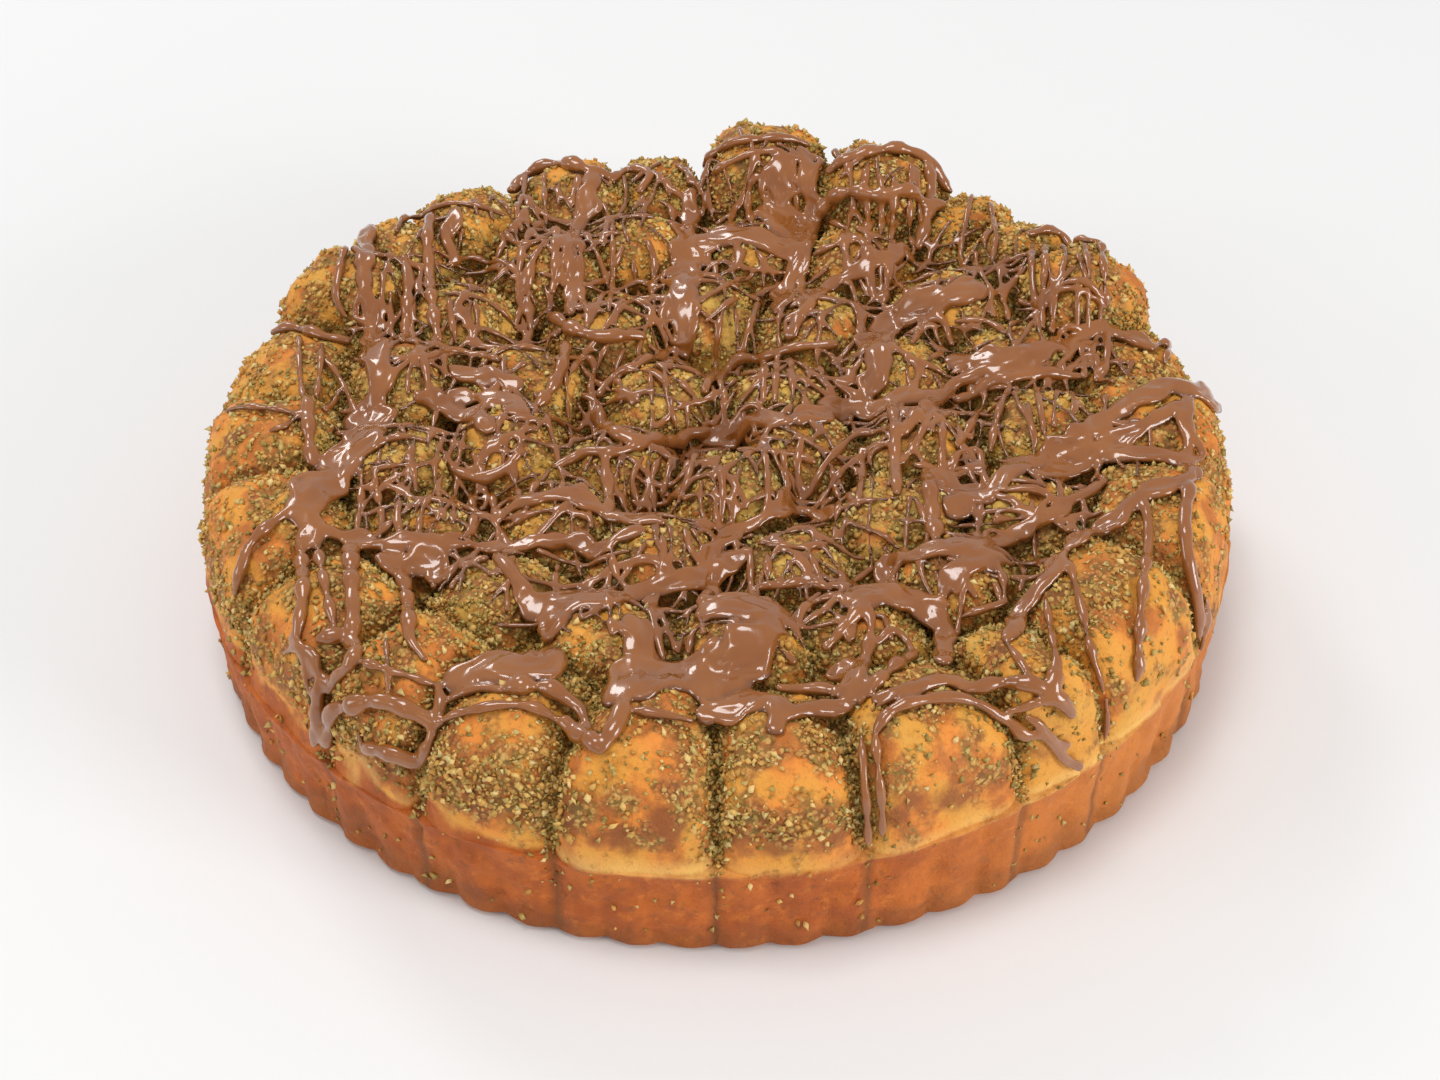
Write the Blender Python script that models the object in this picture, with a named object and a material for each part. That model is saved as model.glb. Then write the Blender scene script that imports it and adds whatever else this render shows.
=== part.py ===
"""Round pull-apart bread, baked in a fluted tin.

Four rings of soft rolls have grown together above one fluted foot, and thick
chocolate lies over them. It is one solid, in metres, with its flat underside
on z = 0, the middle of the bread at x = y = 0 and +Z up.
"""

import math

import bmesh
import bpy
import numpy as np

MM = 0.001

# The tin's mark on the foot of the bread
FOOT_RADIUS = 138.3 * MM
RIM_RADIUS = 140.8 * MM
RIM_HEIGHT = 29.8 * MM
# The rim climbs on one side, where the dough stood higher in the tin
RIM_TILT = 3.2 * MM
RIM_TILT_ANGLE = math.radians(10)
FLUTE_COUNT = 64
FLUTE_DEPTH = 1.7 * MM
FLUTE_POINTS = 3
FLUTE_FADE = 0.8
HEEL_INSET = 2.0 * MM
HEEL_HEIGHT = 1.6 * MM
WAIST_HEIGHT = 12.0 * MM

# Between the rolls the crumb reaches up to this core: radius, height
CORE_RINGS = ((118.0 * MM, 35.0 * MM), (98.0 * MM, 43.0 * MM))
CORE_HEIGHT = 46.0 * MM

# Outer ring: the angle of each crease between two rolls, in degrees
CREASES = (-121.5, -106.2, -90.1, -74.7, -57.5, -46.5, -27, -8, 10, 23, 37, 48,
           58, 74, 91.5, 104, 119.5, 134, 145.5, 157, 175, 190, 209, 226)
OUTER_RING_RADIUS = 119.8 * MM
OUTER_HALF_LENGTH = 20.7 * MM
OUTER_OVERLAP = 1.22
# Squareness of a roll: seen from above, seen from the side
OUTER_SQUARE = (4.6, 2.9)

# Inner rings: count, radius of the ring, angle of the first roll, rise
INNER_RINGS = ((17, 88.3 * MM, -107.5, 34.4 * MM),
               (11, 56.9 * MM, -71.0, 32.7 * MM))
INNER_HALF_LENGTH = 19.6 * MM
INNER_OVERLAP = 1.24
INNER_SQUARE = (3.0, 2.6)

# Five rolls fill the middle: angle and distance from the middle
MIDDLE_ROLLS = ((40, 23.5 * MM), (128, 24.8 * MM), (-148, 29.7 * MM),
                (-80, 28.3 * MM), (-20, 26.2 * MM))
MIDDLE_HALF_WIDTH = 19.4 * MM
MIDDLE_RISE = 32.0 * MM
MIDDLE_SQUARE = (2.8, 2.5)

# Every roll starts inside the foot and rises above the rim
ROLL_START = 28.0 * MM
ROLL_ROOT = 14.0 * MM
ROOT_SCALE = 0.78
OUTER_RISE = 34.4 * MM
# Rolls of the outer ring that rose more or less than the rest
RISE_CHANGE = {8: -4.0 * MM, 9: 8.0 * MM, 10: 2.5 * MM, 12: 10.5 * MM, 13: 11.0 * MM,
               14: -1.5 * MM, 15: 2.0 * MM, 16: 3.5 * MM, 17: 2.5 * MM, 18: 5.5 * MM}
UNEVEN_SEED = 7
UNEVEN_LIMIT = 1.6
UNEVEN_PLACE = 1.4 * MM
UNEVEN_SIZE = 0.035
UNEVEN_RISE = 1.5 * MM
UNEVEN_LEAN = 0.05
UNEVEN_OUTLINE = 0.025

# Mesh of a roll
ROLL_SIDES = 12
ROLL_RINGS = 3

# Thick chocolate: width in mm, then the places it runs through, in mm
DRIZZLE = (
    (7.0, ((-102, 84), (-100, 58), (-98, 42), (-93, 14))),
    (11.0, ((-93, 8), (-95, -11), (-100, -20), (-105, -34))),
    (6.5, ((-107, -44), (-95, -53), (-80, -57), (-66, -54))),
    (6.5, ((-74, 21), (-63, 16), (-53, 12))),
    (6.0, ((-81, 7), (-74, 7), (-66, -1), (-60, -10))),
    (7.0, ((-38, 111), (-38, 101), (-44, 84), (-44, 62))),
    (8.5, ((-8, 108), (-10, 84), (-10, 64), (-9, 43))),
    (8.5, ((-5, 91), (8, 83), (24, 87))),
    (11.0, ((19, 108), (19, 99), (20, 88))),
    (6.5, ((28, 102), (25, 86), (21, 72), (18, 53))),
    (9.5, ((74, 51), (65, 48), (57, 50), (48, 48), (43, 32), (43, 16))),
    (7.5, ((66, 31), (78, 24), (90, 26), (100, 38), (110, 44))),
    (7.0, ((134, 11), (120, 7), (104, -1), (94, -13), (76, -26), (62, -38))),
    (6.0, ((126, -16), (107, -14), (96, -17), (85, -27))),
    (7.0, ((-5, 4), (8, 4), (20, -2), (35, 9), (48, 11), (61, 14))),
    (8.5, ((-47, -78), (-38, -75), (-23, -76), (-14, -68), (1, -56), (8, -54))),
    (10.0, ((-62, -99), (-54, -102), (-46, -102), (-40, -94), (-36, -84))),
    (8.5, ((-21, -87), (-19, -96), (-22, -107), (-32, -118))),
    (11.0, ((-2, -84), (8, -83), (14, -88), (9, -97), (0, -104), (-3, -112))),
    (7.0, ((4, -112), (14, -112), (24, -112), (32, -108), (40, -102), (50, -98), (62, -94))),
    (8.5, ((34, -77), (44, -72), (54, -75), (56, -84), (55, -97))),
    (6.5, ((60, -69), (67, -63), (75, -59))),
    (5.5, ((74, -105), (80, -108), (87, -108))),
    (5.5, ((-85, -111), (-77, -115), (-69, -116))),
)
DRIZZLE_HEIGHT = 0.55
DRIZZLE_LIFT = 0.10
# Its end ring's size and how far its blunt tip reaches past it
DRIZZLE_END = 0.75
DRIZZLE_TIP = 0.4
DRIZZLE_SIDES = 5
DRIZZLE_STEP = 8.0 * MM
ROUTE_STEP = 0.8 * MM
BRIDGED_GAP = 10.0 * MM

# Share of the fused skin's triangles that stays once slivers are collapsed
KEPT_SHARE = 0.88

CRUST_COLOUR = (0.50, 0.24, 0.07, 1.0)
CRUST_ROUGHNESS = 0.7


def clear_scene():
    """Takes away whatever the scene holds before the bread is made."""
    for item in list(bpy.data.objects):
        bpy.data.objects.remove(item, do_unlink=True)


def crust_material():
    """Baked crust."""
    material = bpy.data.materials.new("crust")
    material.use_nodes = True
    shader = material.node_tree.nodes["Principled BSDF"]
    shader.inputs["Base Color"].default_value = CRUST_COLOUR
    shader.inputs["Roughness"].default_value = CRUST_ROUGHNESS
    shader.inputs["Metallic"].default_value = 0.0
    return material


def mesh_object(name, points, faces):
    """An object from an array of points and a list of faces."""
    mesh = bpy.data.meshes.new(name)
    mesh.from_pydata([tuple(p) for p in points], [], [tuple(f) for f in faces])
    mesh.update()
    item = bpy.data.objects.new(name, mesh)
    bpy.context.scene.collection.objects.link(item)
    return item


def closed_rings(name, rings, first, last):
    """A closed skin over rings of points, with a middle point at each end."""
    count = len(rings[0])
    points = np.vstack([first[None]] + list(rings) + [last[None]])
    faces = []
    for k in range(count):
        n = (k + 1) % count
        faces.append((0, 1 + n, 1 + k))
        for row in range(len(rings) - 1):
            low = 1 + row * count
            faces.append((low + k, low + n, low + count + n, low + count + k))
        top = 1 + (len(rings) - 1) * count
        faces.append((top + k, top + n, len(points) - 1))
    return mesh_object(name, points, faces)


def foot():
    """The fluted lower part: rings of scallops that fade towards the rim,
    closed by the low core that fills the bread between its rolls."""
    turn = np.linspace(0, 2 * math.pi, FLUTE_COUNT * FLUTE_POINTS, endpoint=False)
    scallop = np.abs(np.sin(turn * FLUTE_COUNT / 2))
    rim = RIM_HEIGHT + RIM_TILT * np.cos(turn - RIM_TILT_ANGLE)
    rings = []
    for z in (0.0, HEEL_HEIGHT, WAIST_HEIGHT, RIM_HEIGHT):
        share = z / RIM_HEIGHT
        radius = FOOT_RADIUS + (RIM_RADIUS - FOOT_RADIUS) * share
        depth = FLUTE_DEPTH * (1 - FLUTE_FADE * share)
        radius = radius + depth * (scallop - 0.5)
        if z < HEEL_HEIGHT:
            radius = radius - HEEL_INSET
        rings.append(np.stack([radius * np.cos(turn), radius * np.sin(turn), share * rim], -1))
    for radius, z in CORE_RINGS:
        rings.append(np.stack([radius * np.cos(turn), radius * np.sin(turn),
                               np.full_like(turn, z)], -1))
    return closed_rings("bread", rings, np.zeros(3), np.array([0, 0, CORE_HEIGHT]))


def roll_table():
    """One row for each roll: ring radius, angle, half length, half width,
    rise, squareness seen from above, squareness seen from the side, lean
    outwards, lean sideways, and the phase of its uneven outline."""
    rows = []
    edges = np.radians(CREASES + (CREASES[0] + 360,))
    for k in range(len(CREASES)):
        half_angle = (edges[k + 1] - edges[k]) / 2
        rows.append((OUTER_RING_RADIUS, edges[k] + half_angle, OUTER_HALF_LENGTH,
                     half_angle * OUTER_RING_RADIUS * OUTER_OVERLAP,
                     OUTER_RISE + RISE_CHANGE.get(k, 0), *OUTER_SQUARE))
    for count, radius, start, rise in INNER_RINGS:
        for k in range(count):
            rows.append((radius, math.radians(start + 360 * k / count),
                         INNER_HALF_LENGTH, math.pi * radius / count * INNER_OVERLAP,
                         rise, *INNER_SQUARE))
    for angle, radius in MIDDLE_ROLLS:
        rows.append((radius, math.radians(angle), MIDDLE_HALF_WIDTH,
                     MIDDLE_HALF_WIDTH, MIDDLE_RISE, *MIDDLE_SQUARE))
    table = np.array(rows)
    draw = np.random.default_rng(UNEVEN_SEED)
    uneven = draw.normal(0, 1, (len(table), 8)).clip(-UNEVEN_LIMIT, UNEVEN_LIMIT)
    inner = np.arange(len(table)) >= len(CREASES)
    table[:, 0] += inner * UNEVEN_PLACE * uneven[:, 0]
    table[:, 1] += inner * UNEVEN_PLACE * uneven[:, 1] / table[:, 0]
    table[:, 2] *= 1 + inner * UNEVEN_SIZE * uneven[:, 2]
    table[:, 3] *= 1 + inner * UNEVEN_SIZE * uneven[:, 3]
    table[:, 4] += UNEVEN_RISE * uneven[:, 4]
    lean = UNEVEN_LEAN * uneven[:, 5:7]
    phase = math.pi * uneven[:, 7:8]
    return np.hstack([table, lean, phase])


def outline(turn, square, phase):
    """Distance of a roll's edge in direction turn, for a roll of half size 1:
    a superellipse with a slow uneven wave."""
    edge = (np.abs(np.cos(turn)) ** square + np.abs(np.sin(turn)) ** square) ** (-1 / square)
    return edge * (1 + UNEVEN_OUTLINE * np.sin(2 * turn + phase)
                   + UNEVEN_OUTLINE * np.sin(3 * turn + 2 * phase))


def roll(index, row):
    """One roll: rings of its outline that shrink towards the crest as a
    rounded dome, over a narrower root that stays inside the foot."""
    radius, angle, length, width, rise, square, dome, lean_out, lean_side, phase = row
    turn = np.linspace(0, 2 * math.pi, ROLL_SIDES, endpoint=False)
    edge = outline(turn, square, phase)
    along = np.array([math.cos(angle), math.sin(angle)])
    across = np.array([-math.sin(angle), math.cos(angle)])
    rings = []
    steps = [(ROOT_SCALE, None)]
    for k in range(ROLL_RINGS):
        part = k / ROLL_RINGS * math.pi / 2
        steps.append((math.cos(part) ** (2 / dome), math.sin(part) ** (2 / dome)))
    for size, lift in steps:
        u = edge * size * np.cos(turn)
        v = edge * size * np.sin(turn)
        flat = radius * along + np.outer(length * u, along) + np.outer(width * v, across)
        if lift is None:
            z = np.full(ROLL_SIDES, ROLL_ROOT)
        else:
            z = ROLL_START + rise * lift * (1 + lean_out * u + lean_side * v)
        rings.append(np.column_stack([flat, z]))
    low = np.append(radius * along, ROLL_ROOT)
    high = np.append(radius * along, ROLL_START + rise)
    return closed_rings(f"roll_{index}", rings, low, high)


def crust_height(x, y, table):
    """Height of the rolls over a place seen from above."""
    places, heights = zip(*((RIM_RADIUS, RIM_HEIGHT), *CORE_RINGS, (0, CORE_HEIGHT)))
    z = np.interp(np.hypot(x, y), places[::-1], heights[::-1])
    for radius, angle, length, width, rise, square, dome, out, side, phase in table:
        dx = x - radius * math.cos(angle)
        dy = y - radius * math.sin(angle)
        u = (dx * math.cos(angle) + dy * math.sin(angle)) / length
        v = (dy * math.cos(angle) - dx * math.sin(angle)) / width
        reach = np.hypot(u, v) / outline(np.arctan2(v, u), square, phase)
        lift = (1 - np.minimum(reach, 1) ** dome) ** (1 / dome)
        z = np.maximum(z, ROLL_START + rise * lift * (1 + out * u + side * v))
    return z


def smooth_route(places, step):
    """Points on a smooth curve through the places, about one step apart."""
    p = np.array(places, float) * MM
    p = np.vstack([2 * p[0] - p[1], p, 2 * p[-1] - p[-2]])
    pieces = []
    for a, b, c, d in zip(p[:-3], p[1:-2], p[2:-1], p[3:]):
        count = max(2, math.ceil(np.linalg.norm(c - b) / step))
        t = np.linspace(0, 1, count, endpoint=False)[:, None]
        pieces.append(0.5 * (2 * b + (c - a) * t + (2 * a - 5 * b + 4 * c - d) * t ** 2
                             + (3 * b - a - 3 * c + d) * t ** 3))
    return np.vstack(pieces + [p[-2:-1]])


def bridged(z, reach):
    """Fills gaps along a route that are narrower than twice reach samples."""
    wide = np.pad(z, reach, mode="edge")
    high = np.array([wide[k:k + 2 * reach + 1].max() for k in range(len(z))])
    wide = np.pad(high, reach, mode="edge")
    return np.array([wide[k:k + 2 * reach + 1].min() for k in range(len(z))])


def drizzle(index, width, places, table):
    """A thick strand of chocolate that lies over the rolls: a flattened tube
    along a smooth route, half sunk in the crust, with blunt ends."""
    flat = smooth_route(places, ROUTE_STEP)
    z = crust_height(flat[:, 0], flat[:, 1], table)
    z = bridged(z, round(BRIDGED_GAP / ROUTE_STEP / 2))
    route = np.column_stack([flat, z])
    length = np.append(0, np.cumsum(np.linalg.norm(np.diff(route, axis=0), axis=1)))
    count = max(3, round(length[-1] / DRIZZLE_STEP))
    at = np.linspace(0, length[-1], count)
    route = np.column_stack([np.interp(at, length, route[:, k]) for k in range(3)])
    ahead = np.gradient(route, axis=0)
    ahead /= np.linalg.norm(ahead, axis=1)[:, None]
    side = np.column_stack([-ahead[:, 1], ahead[:, 0], np.zeros(count)])
    side /= np.linalg.norm(side, axis=1)[:, None]
    up = np.cross(ahead, side)
    half = width * MM / 2
    turn = math.pi / 2 - np.linspace(0, 2 * math.pi, DRIZZLE_SIDES, endpoint=False)
    rings = []
    for k in range(count):
        end = min(k, count - 1 - k)
        size = DRIZZLE_END if end == 0 else 1.0
        middle = route[k] + up[k] * half * DRIZZLE_LIFT
        rings.append(middle + size * half * (np.outer(np.cos(turn), side[k])
                     + DRIZZLE_HEIGHT * np.outer(np.sin(turn), up[k])))
    first = route[0] - ahead[0] * half * DRIZZLE_TIP
    last = route[-1] + ahead[-1] * half * DRIZZLE_TIP
    return closed_rings(f"drizzle_{index}", rings, first, last)


def fuse(base, pieces):
    """One union joins the pieces to the base, and is applied."""
    group = bpy.data.collections.new("fused")
    bpy.context.scene.collection.children.link(group)
    for piece in pieces:
        bpy.context.scene.collection.objects.unlink(piece)
        group.objects.link(piece)
    union = base.modifiers.new("union", "BOOLEAN")
    union.operation = "UNION"
    union.operand_type = "COLLECTION"
    union.collection = group
    union.solver = "EXACT"
    bpy.context.view_layer.update()
    joined = base.evaluated_get(bpy.context.evaluated_depsgraph_get())
    mesh = bpy.data.meshes.new_from_object(joined)
    base.modifiers.clear()
    base.data = mesh
    for piece in pieces:
        bpy.data.objects.remove(piece, do_unlink=True)
    bpy.data.collections.remove(group)


def cut_into_triangles(skin):
    """Cuts the union's many-sided faces into triangles. Two faces that would
    be cut along the same line get a point in their middle first."""
    trial = skin.copy()
    bmesh.ops.triangulate(trial, faces=trial.faces[:])
    doubled = [{v.index for v in edge.verts} for edge in trial.edges
               if len(edge.link_faces) > 2]
    trial.free()
    shared = [face for face in skin.faces
              if any(pair <= {v.index for v in face.verts} for pair in doubled)]
    bmesh.ops.poke(skin, faces=[face for face in shared if len(face.verts) > 3])
    bmesh.ops.triangulate(skin, faces=skin.faces[:])


def outer_shell(skin):
    """The faces of the largest shell."""
    shells = []
    seen = set()
    for start in skin.faces:
        if start in seen:
            continue
        seen.add(start)
        shell = []
        waiting = [start]
        while waiting:
            face = waiting.pop()
            shell.append(face)
            for near in (f for edge in face.edges for f in edge.link_faces):
                if near not in seen:
                    seen.add(near)
                    waiting.append(near)
        shells.append(shell)
    return max(shells, key=len)


def keep_outer_skin(mesh):
    """Leaves the one outer skin: hollows sealed by the union are filled and
    loose scraps go."""
    skin = bmesh.new()
    skin.from_mesh(mesh)
    kept = set(outer_shell(skin))
    bmesh.ops.delete(skin, geom=[f for f in skin.faces if f not in kept], context="FACES")
    skin.verts.index_update()
    cut_into_triangles(skin)
    skin.to_mesh(mesh)
    skin.free()


def collapse_slivers(item):
    """Collapses the shortest and flattest edges that the union left."""
    fewer = item.modifiers.new("fewer", "DECIMATE")
    fewer.decimate_type = "COLLAPSE"
    fewer.ratio = KEPT_SHARE


def main():
    """Makes the foot, the rolls and the drizzle, and fuses them."""
    clear_scene()
    table = roll_table()
    bread = foot()
    pieces = [roll(k, row) for k, row in enumerate(table)]
    pieces += [drizzle(k, width, places, table) for k, (width, places) in enumerate(DRIZZLE)]
    fuse(bread, pieces)
    keep_outer_skin(bread.data)
    collapse_slivers(bread)
    bread.name = "bread"
    bread.data.name = "bread"
    bread.data.materials.clear()
    bread.data.materials.append(crust_material())


main()
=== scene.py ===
"""Looks of the round pull-apart bread.

The crust, the chocolate and the nut crumbs are surfaces worked out with numpy
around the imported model, in metres, with the flat underside on z = 0 and the
side that the camera sees in front towards -Y.
"""

import math

import bpy
import numpy as np
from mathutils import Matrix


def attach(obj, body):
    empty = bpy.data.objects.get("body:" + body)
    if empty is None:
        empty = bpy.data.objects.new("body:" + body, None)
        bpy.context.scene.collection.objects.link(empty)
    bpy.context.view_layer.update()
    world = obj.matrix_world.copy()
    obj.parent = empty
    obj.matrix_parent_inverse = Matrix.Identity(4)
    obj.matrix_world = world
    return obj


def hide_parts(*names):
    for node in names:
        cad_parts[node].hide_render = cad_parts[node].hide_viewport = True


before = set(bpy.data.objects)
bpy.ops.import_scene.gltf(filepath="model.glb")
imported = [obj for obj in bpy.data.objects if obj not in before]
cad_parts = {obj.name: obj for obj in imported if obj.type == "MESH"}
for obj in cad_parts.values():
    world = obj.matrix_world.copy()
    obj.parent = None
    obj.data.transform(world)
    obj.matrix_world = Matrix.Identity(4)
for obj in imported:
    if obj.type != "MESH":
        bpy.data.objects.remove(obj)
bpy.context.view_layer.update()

MM = 0.001

# The tin's mark on the foot of the bread: its radii at the foot and the rim
FOOT_RADIUS = 138.3 * MM
RIM_RADIUS = 140.8 * MM
RIM_HEIGHT = 29.8 * MM
# The rim climbs on one side, where the dough stood higher in the tin
RIM_TILT = 3.2 * MM
RIM_TILT_ANGLE = math.radians(10)
FLUTE_COUNT = 64
FLUTE_DEPTH = 1.7 * MM
FLUTE_POINTS = 12
FLUTE_FADE = 0.8
HEEL_INSET = 2.0 * MM
HEEL_HEIGHT = 1.6 * MM
HEEL_EDGE = 0.5 * MM
FOOT_RINGS = 16
CORE_RINGS = ((118.0 * MM, 35.0 * MM), (98.0 * MM, 43.0 * MM))
CORE_HEIGHT = 46.0 * MM
# A seam runs down the wall below each crease of the outer ring
SEAM_WIDTH = 1.3 * MM
SEAM_DEPTH = 0.9 * MM

# The rolls: the same sizes and places as the solid's
CREASES = (-121.5, -106.2, -90.1, -74.7, -57.5, -46.5, -27, -8, 10, 23, 37, 48,
           58, 74, 91.5, 104, 119.5, 134, 145.5, 157, 175, 190, 209, 226)
OUTER_RING_RADIUS = 119.8 * MM
OUTER_HALF_LENGTH = 20.7 * MM
OUTER_OVERLAP = 1.22
OUTER_SQUARE = (4.6, 2.9)
INNER_RINGS = ((17, 88.3 * MM, -107.5, 34.4 * MM),
               (11, 56.9 * MM, -71.0, 32.7 * MM))
INNER_HALF_LENGTH = 19.6 * MM
INNER_OVERLAP = 1.24
INNER_SQUARE = (3.0, 2.6)
MIDDLE_ROLLS = ((40, 23.5 * MM), (128, 24.8 * MM), (-148, 29.7 * MM),
                (-80, 28.3 * MM), (-20, 26.2 * MM))
MIDDLE_HALF_WIDTH = 19.4 * MM
MIDDLE_RISE = 32.0 * MM
MIDDLE_SQUARE = (2.8, 2.5)
ROLL_START = 28.0 * MM
ROLL_ROOT = 14.0 * MM
ROOT_SCALE = 0.78
OUTER_RISE = 34.4 * MM
RISE_CHANGE = {8: -4.0 * MM, 9: 8.0 * MM, 10: 2.5 * MM, 12: 10.5 * MM, 13: 11.0 * MM,
               14: -1.5 * MM, 15: 2.0 * MM, 16: 3.5 * MM, 17: 2.5 * MM, 18: 5.5 * MM}
UNEVEN_SEED = 7
UNEVEN_LIMIT = 1.6
UNEVEN_PLACE = 1.4 * MM
UNEVEN_SIZE = 0.035
UNEVEN_RISE = 1.5 * MM
UNEVEN_LEAN = 0.05
UNEVEN_OUTLINE = 0.025
ROLL_SIDES = 60
ROLL_RINGS = 22
# Above 1, a roll's rings lie closer together towards its crest
RING_CROWDING = 1.25

# Lumps of the crust: size, depth, seed. The crust is pressed in where their
# waves are below this level
LUMPS = ((16 * MM, 0.55 * MM, 3), (5 * MM, 0.22 * MM, 4), (2.2 * MM, 0.12 * MM, 6))
LUMP_LEVEL = 0.8
# Grooves run along the creases between the rolls, above this height
GROOVE_DEPTH = 1.3 * MM
GROOVE_WIDTH = 1.4 * MM
GROOVE_START = 20 * MM
# Lumps and grooves fade out this near to the rim line and to the flat underside
RIM_CALM = 2.2 * MM
FLAT_CALM = 4 * MM
SHARP_ANGLE = math.radians(50)

# How toasted each outer roll is. The other rolls draw a share of the most
TOASTED = {0: 0.45, 1: 0.90, 2: 0.80, 3: 0.70, 4: 0.0, 5: 0.30, 6: 0.85, 7: 0.60, 8: 0.45,
           9: 0.55, 12: 0.70, 13: 0.65, 20: 0.95, 21: 0.55, 22: 0.70, 23: 0.85}
TOASTED_MOST = 0.55
TOASTED_POWER = 2.2
LOOKS_SEED = 8
# How gritty each outer roll is, where it differs from the rest
GRITTY = {0: 1.0, 1: 0.35, 2: 0.55, 3: 0.15, 4: 0.0, 5: 0.0, 6: 0.2, 20: 0.15, 21: 0.5, 23: 0.8}
GRITTY_REST = 0.5
# Outer rolls have this share of their shade, so that they stay golden
OUTER_TINT = 0.25
# How brown the faces of the front rolls are, low on their rise
BROWN_FACES = {0: 1.0, 1: 0.85, 2: 0.95, 3: 0.55, 12: 0.5, 16: 0.6, 20: 0.4, 21: 0.7,
               22: 0.7, 23: 0.9}
BROWN_REST = 0.35
BROWN_LIFT = 0.44
BROWN_SPREAD = 0.24
# The wall's colour climbs over the rim between these angles, by these heights
BROWNED_ANGLES = (-180, -168, -150, -136, -124, -114, -106, -103, 180)
BROWNED_HEIGHTS = (0, 2.5, 5.0, 6.5, 5.0, 3.0, 1.5, 0, 0)
# Painted light: the share of a lighter orange in the wall's colour at these angles, on its right
# side where the light from the right falls
LIT_SIDE_ANGLES = (-180, -75, -45, 20, 60, 180)
LIT_SIDE_SHARES = (0, 0, 1, 1, 0, 0)
# How pale the band over the rim is on the rolls that differ from the rest
PALE_BANDS = {0: 0.3, 1: 0.8, 2: 0.35, 3: 0.6, 4: 1.0, 5: 1.0, 6: 0.3, 20: 0.3, 21: 0.3,
              22: 0.3}
PALE_REST = 0.6
BAND_HEIGHT = 2.5 * MM
# Crust outside this radius is the bread's side, and fades into its top
SIDE_RADIUS = 127.0 * MM
SIDE_FADE = 6 * MM
# Rolls outside this radius are the outer ones
OUTER_RADIUS = 108.0 * MM
# The material sees a crease up to this far from the next roll
CREASE_SEEN = 8 * MM
# Uneven values of the crust: size of their waves, and seed
BROWNED_WAVES = (14 * MM, 41)
TOAST_WAVES = (15 * MM, 42)
BAND_WAVES = (20 * MM, 43)
GRIT_WAVES = (11 * MM, 44)
BROWN_WAVES = (12 * MM, 45)
HERB_WAVES = (16 * MM, 31)
NUT_WAVES = (12 * MM, 32)
NUT_SMALL_WAVES = (4 * MM, 33)

# Chocolate is worked out on a grid of cells of this size
CELL = 0.65 * MM
FIELD_LOW = np.array([-142, -142, 24]) * MM
FIELD_HIGH = np.array([142, 142, 79]) * MM
# Strands melt together over this distance, and are worked out this far around
MELT = 0.32 * MM
REACH = 2.0 * MM
FAR_AWAY = 9.0
# Lengths of a strand's pieces, of steps on its curve, and of steps down a ray
PIECE_LENGTH = 1.8 * MM
ROUTE_STEP = 0.8 * MM
CAST_STEP = 0.25 * MM
# Chocolate bridges gaps twice this wide
BRIDGED = 4.0 * MM
HEIGHT_BLUR = 3
SLOPE_BLUR = 6
BLUR_SHARES = (0.25, 0.5, 0.25)
# A strand's height over its width, and how much of its half height its
# middle is laid over the crust
THIN_FLAT = 0.85
LAID_UP = 0.45
# A stroke's width changes this much, and starts from this share at its ends
WIDTH_CHANGE = 0.16
WIDTH_SIZE = 9 * MM
END_SHARE = 0.7
END_STEP = 0.15
# A stroke wider than this is a pool that follows the crust, with ridges on it
POOL_WIDTH = 4.2 * MM
POOL_SHARE = 0.48
POOL_THICKNESS = 1.3 * MM
POOL_EDGE = 1.5
RIDGE_APART = 2.6 * MM
RIDGE_HALF = (0.70 * MM, 1.20 * MM)
RIDGE_HALF_SIZE = 12 * MM
RIDGE_SHARE = 0.9
RIDGE_WANDER = 1.1 * MM
RIDGE_WANDER_SIZE = 16 * MM
RIDGE_LIFT = 0.4 * MM
# Chocolate is cut off this far under the surface that it lies on
UNDERSIDE = 0.45 * MM
MOST_TRIANGLES = 196000

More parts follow.
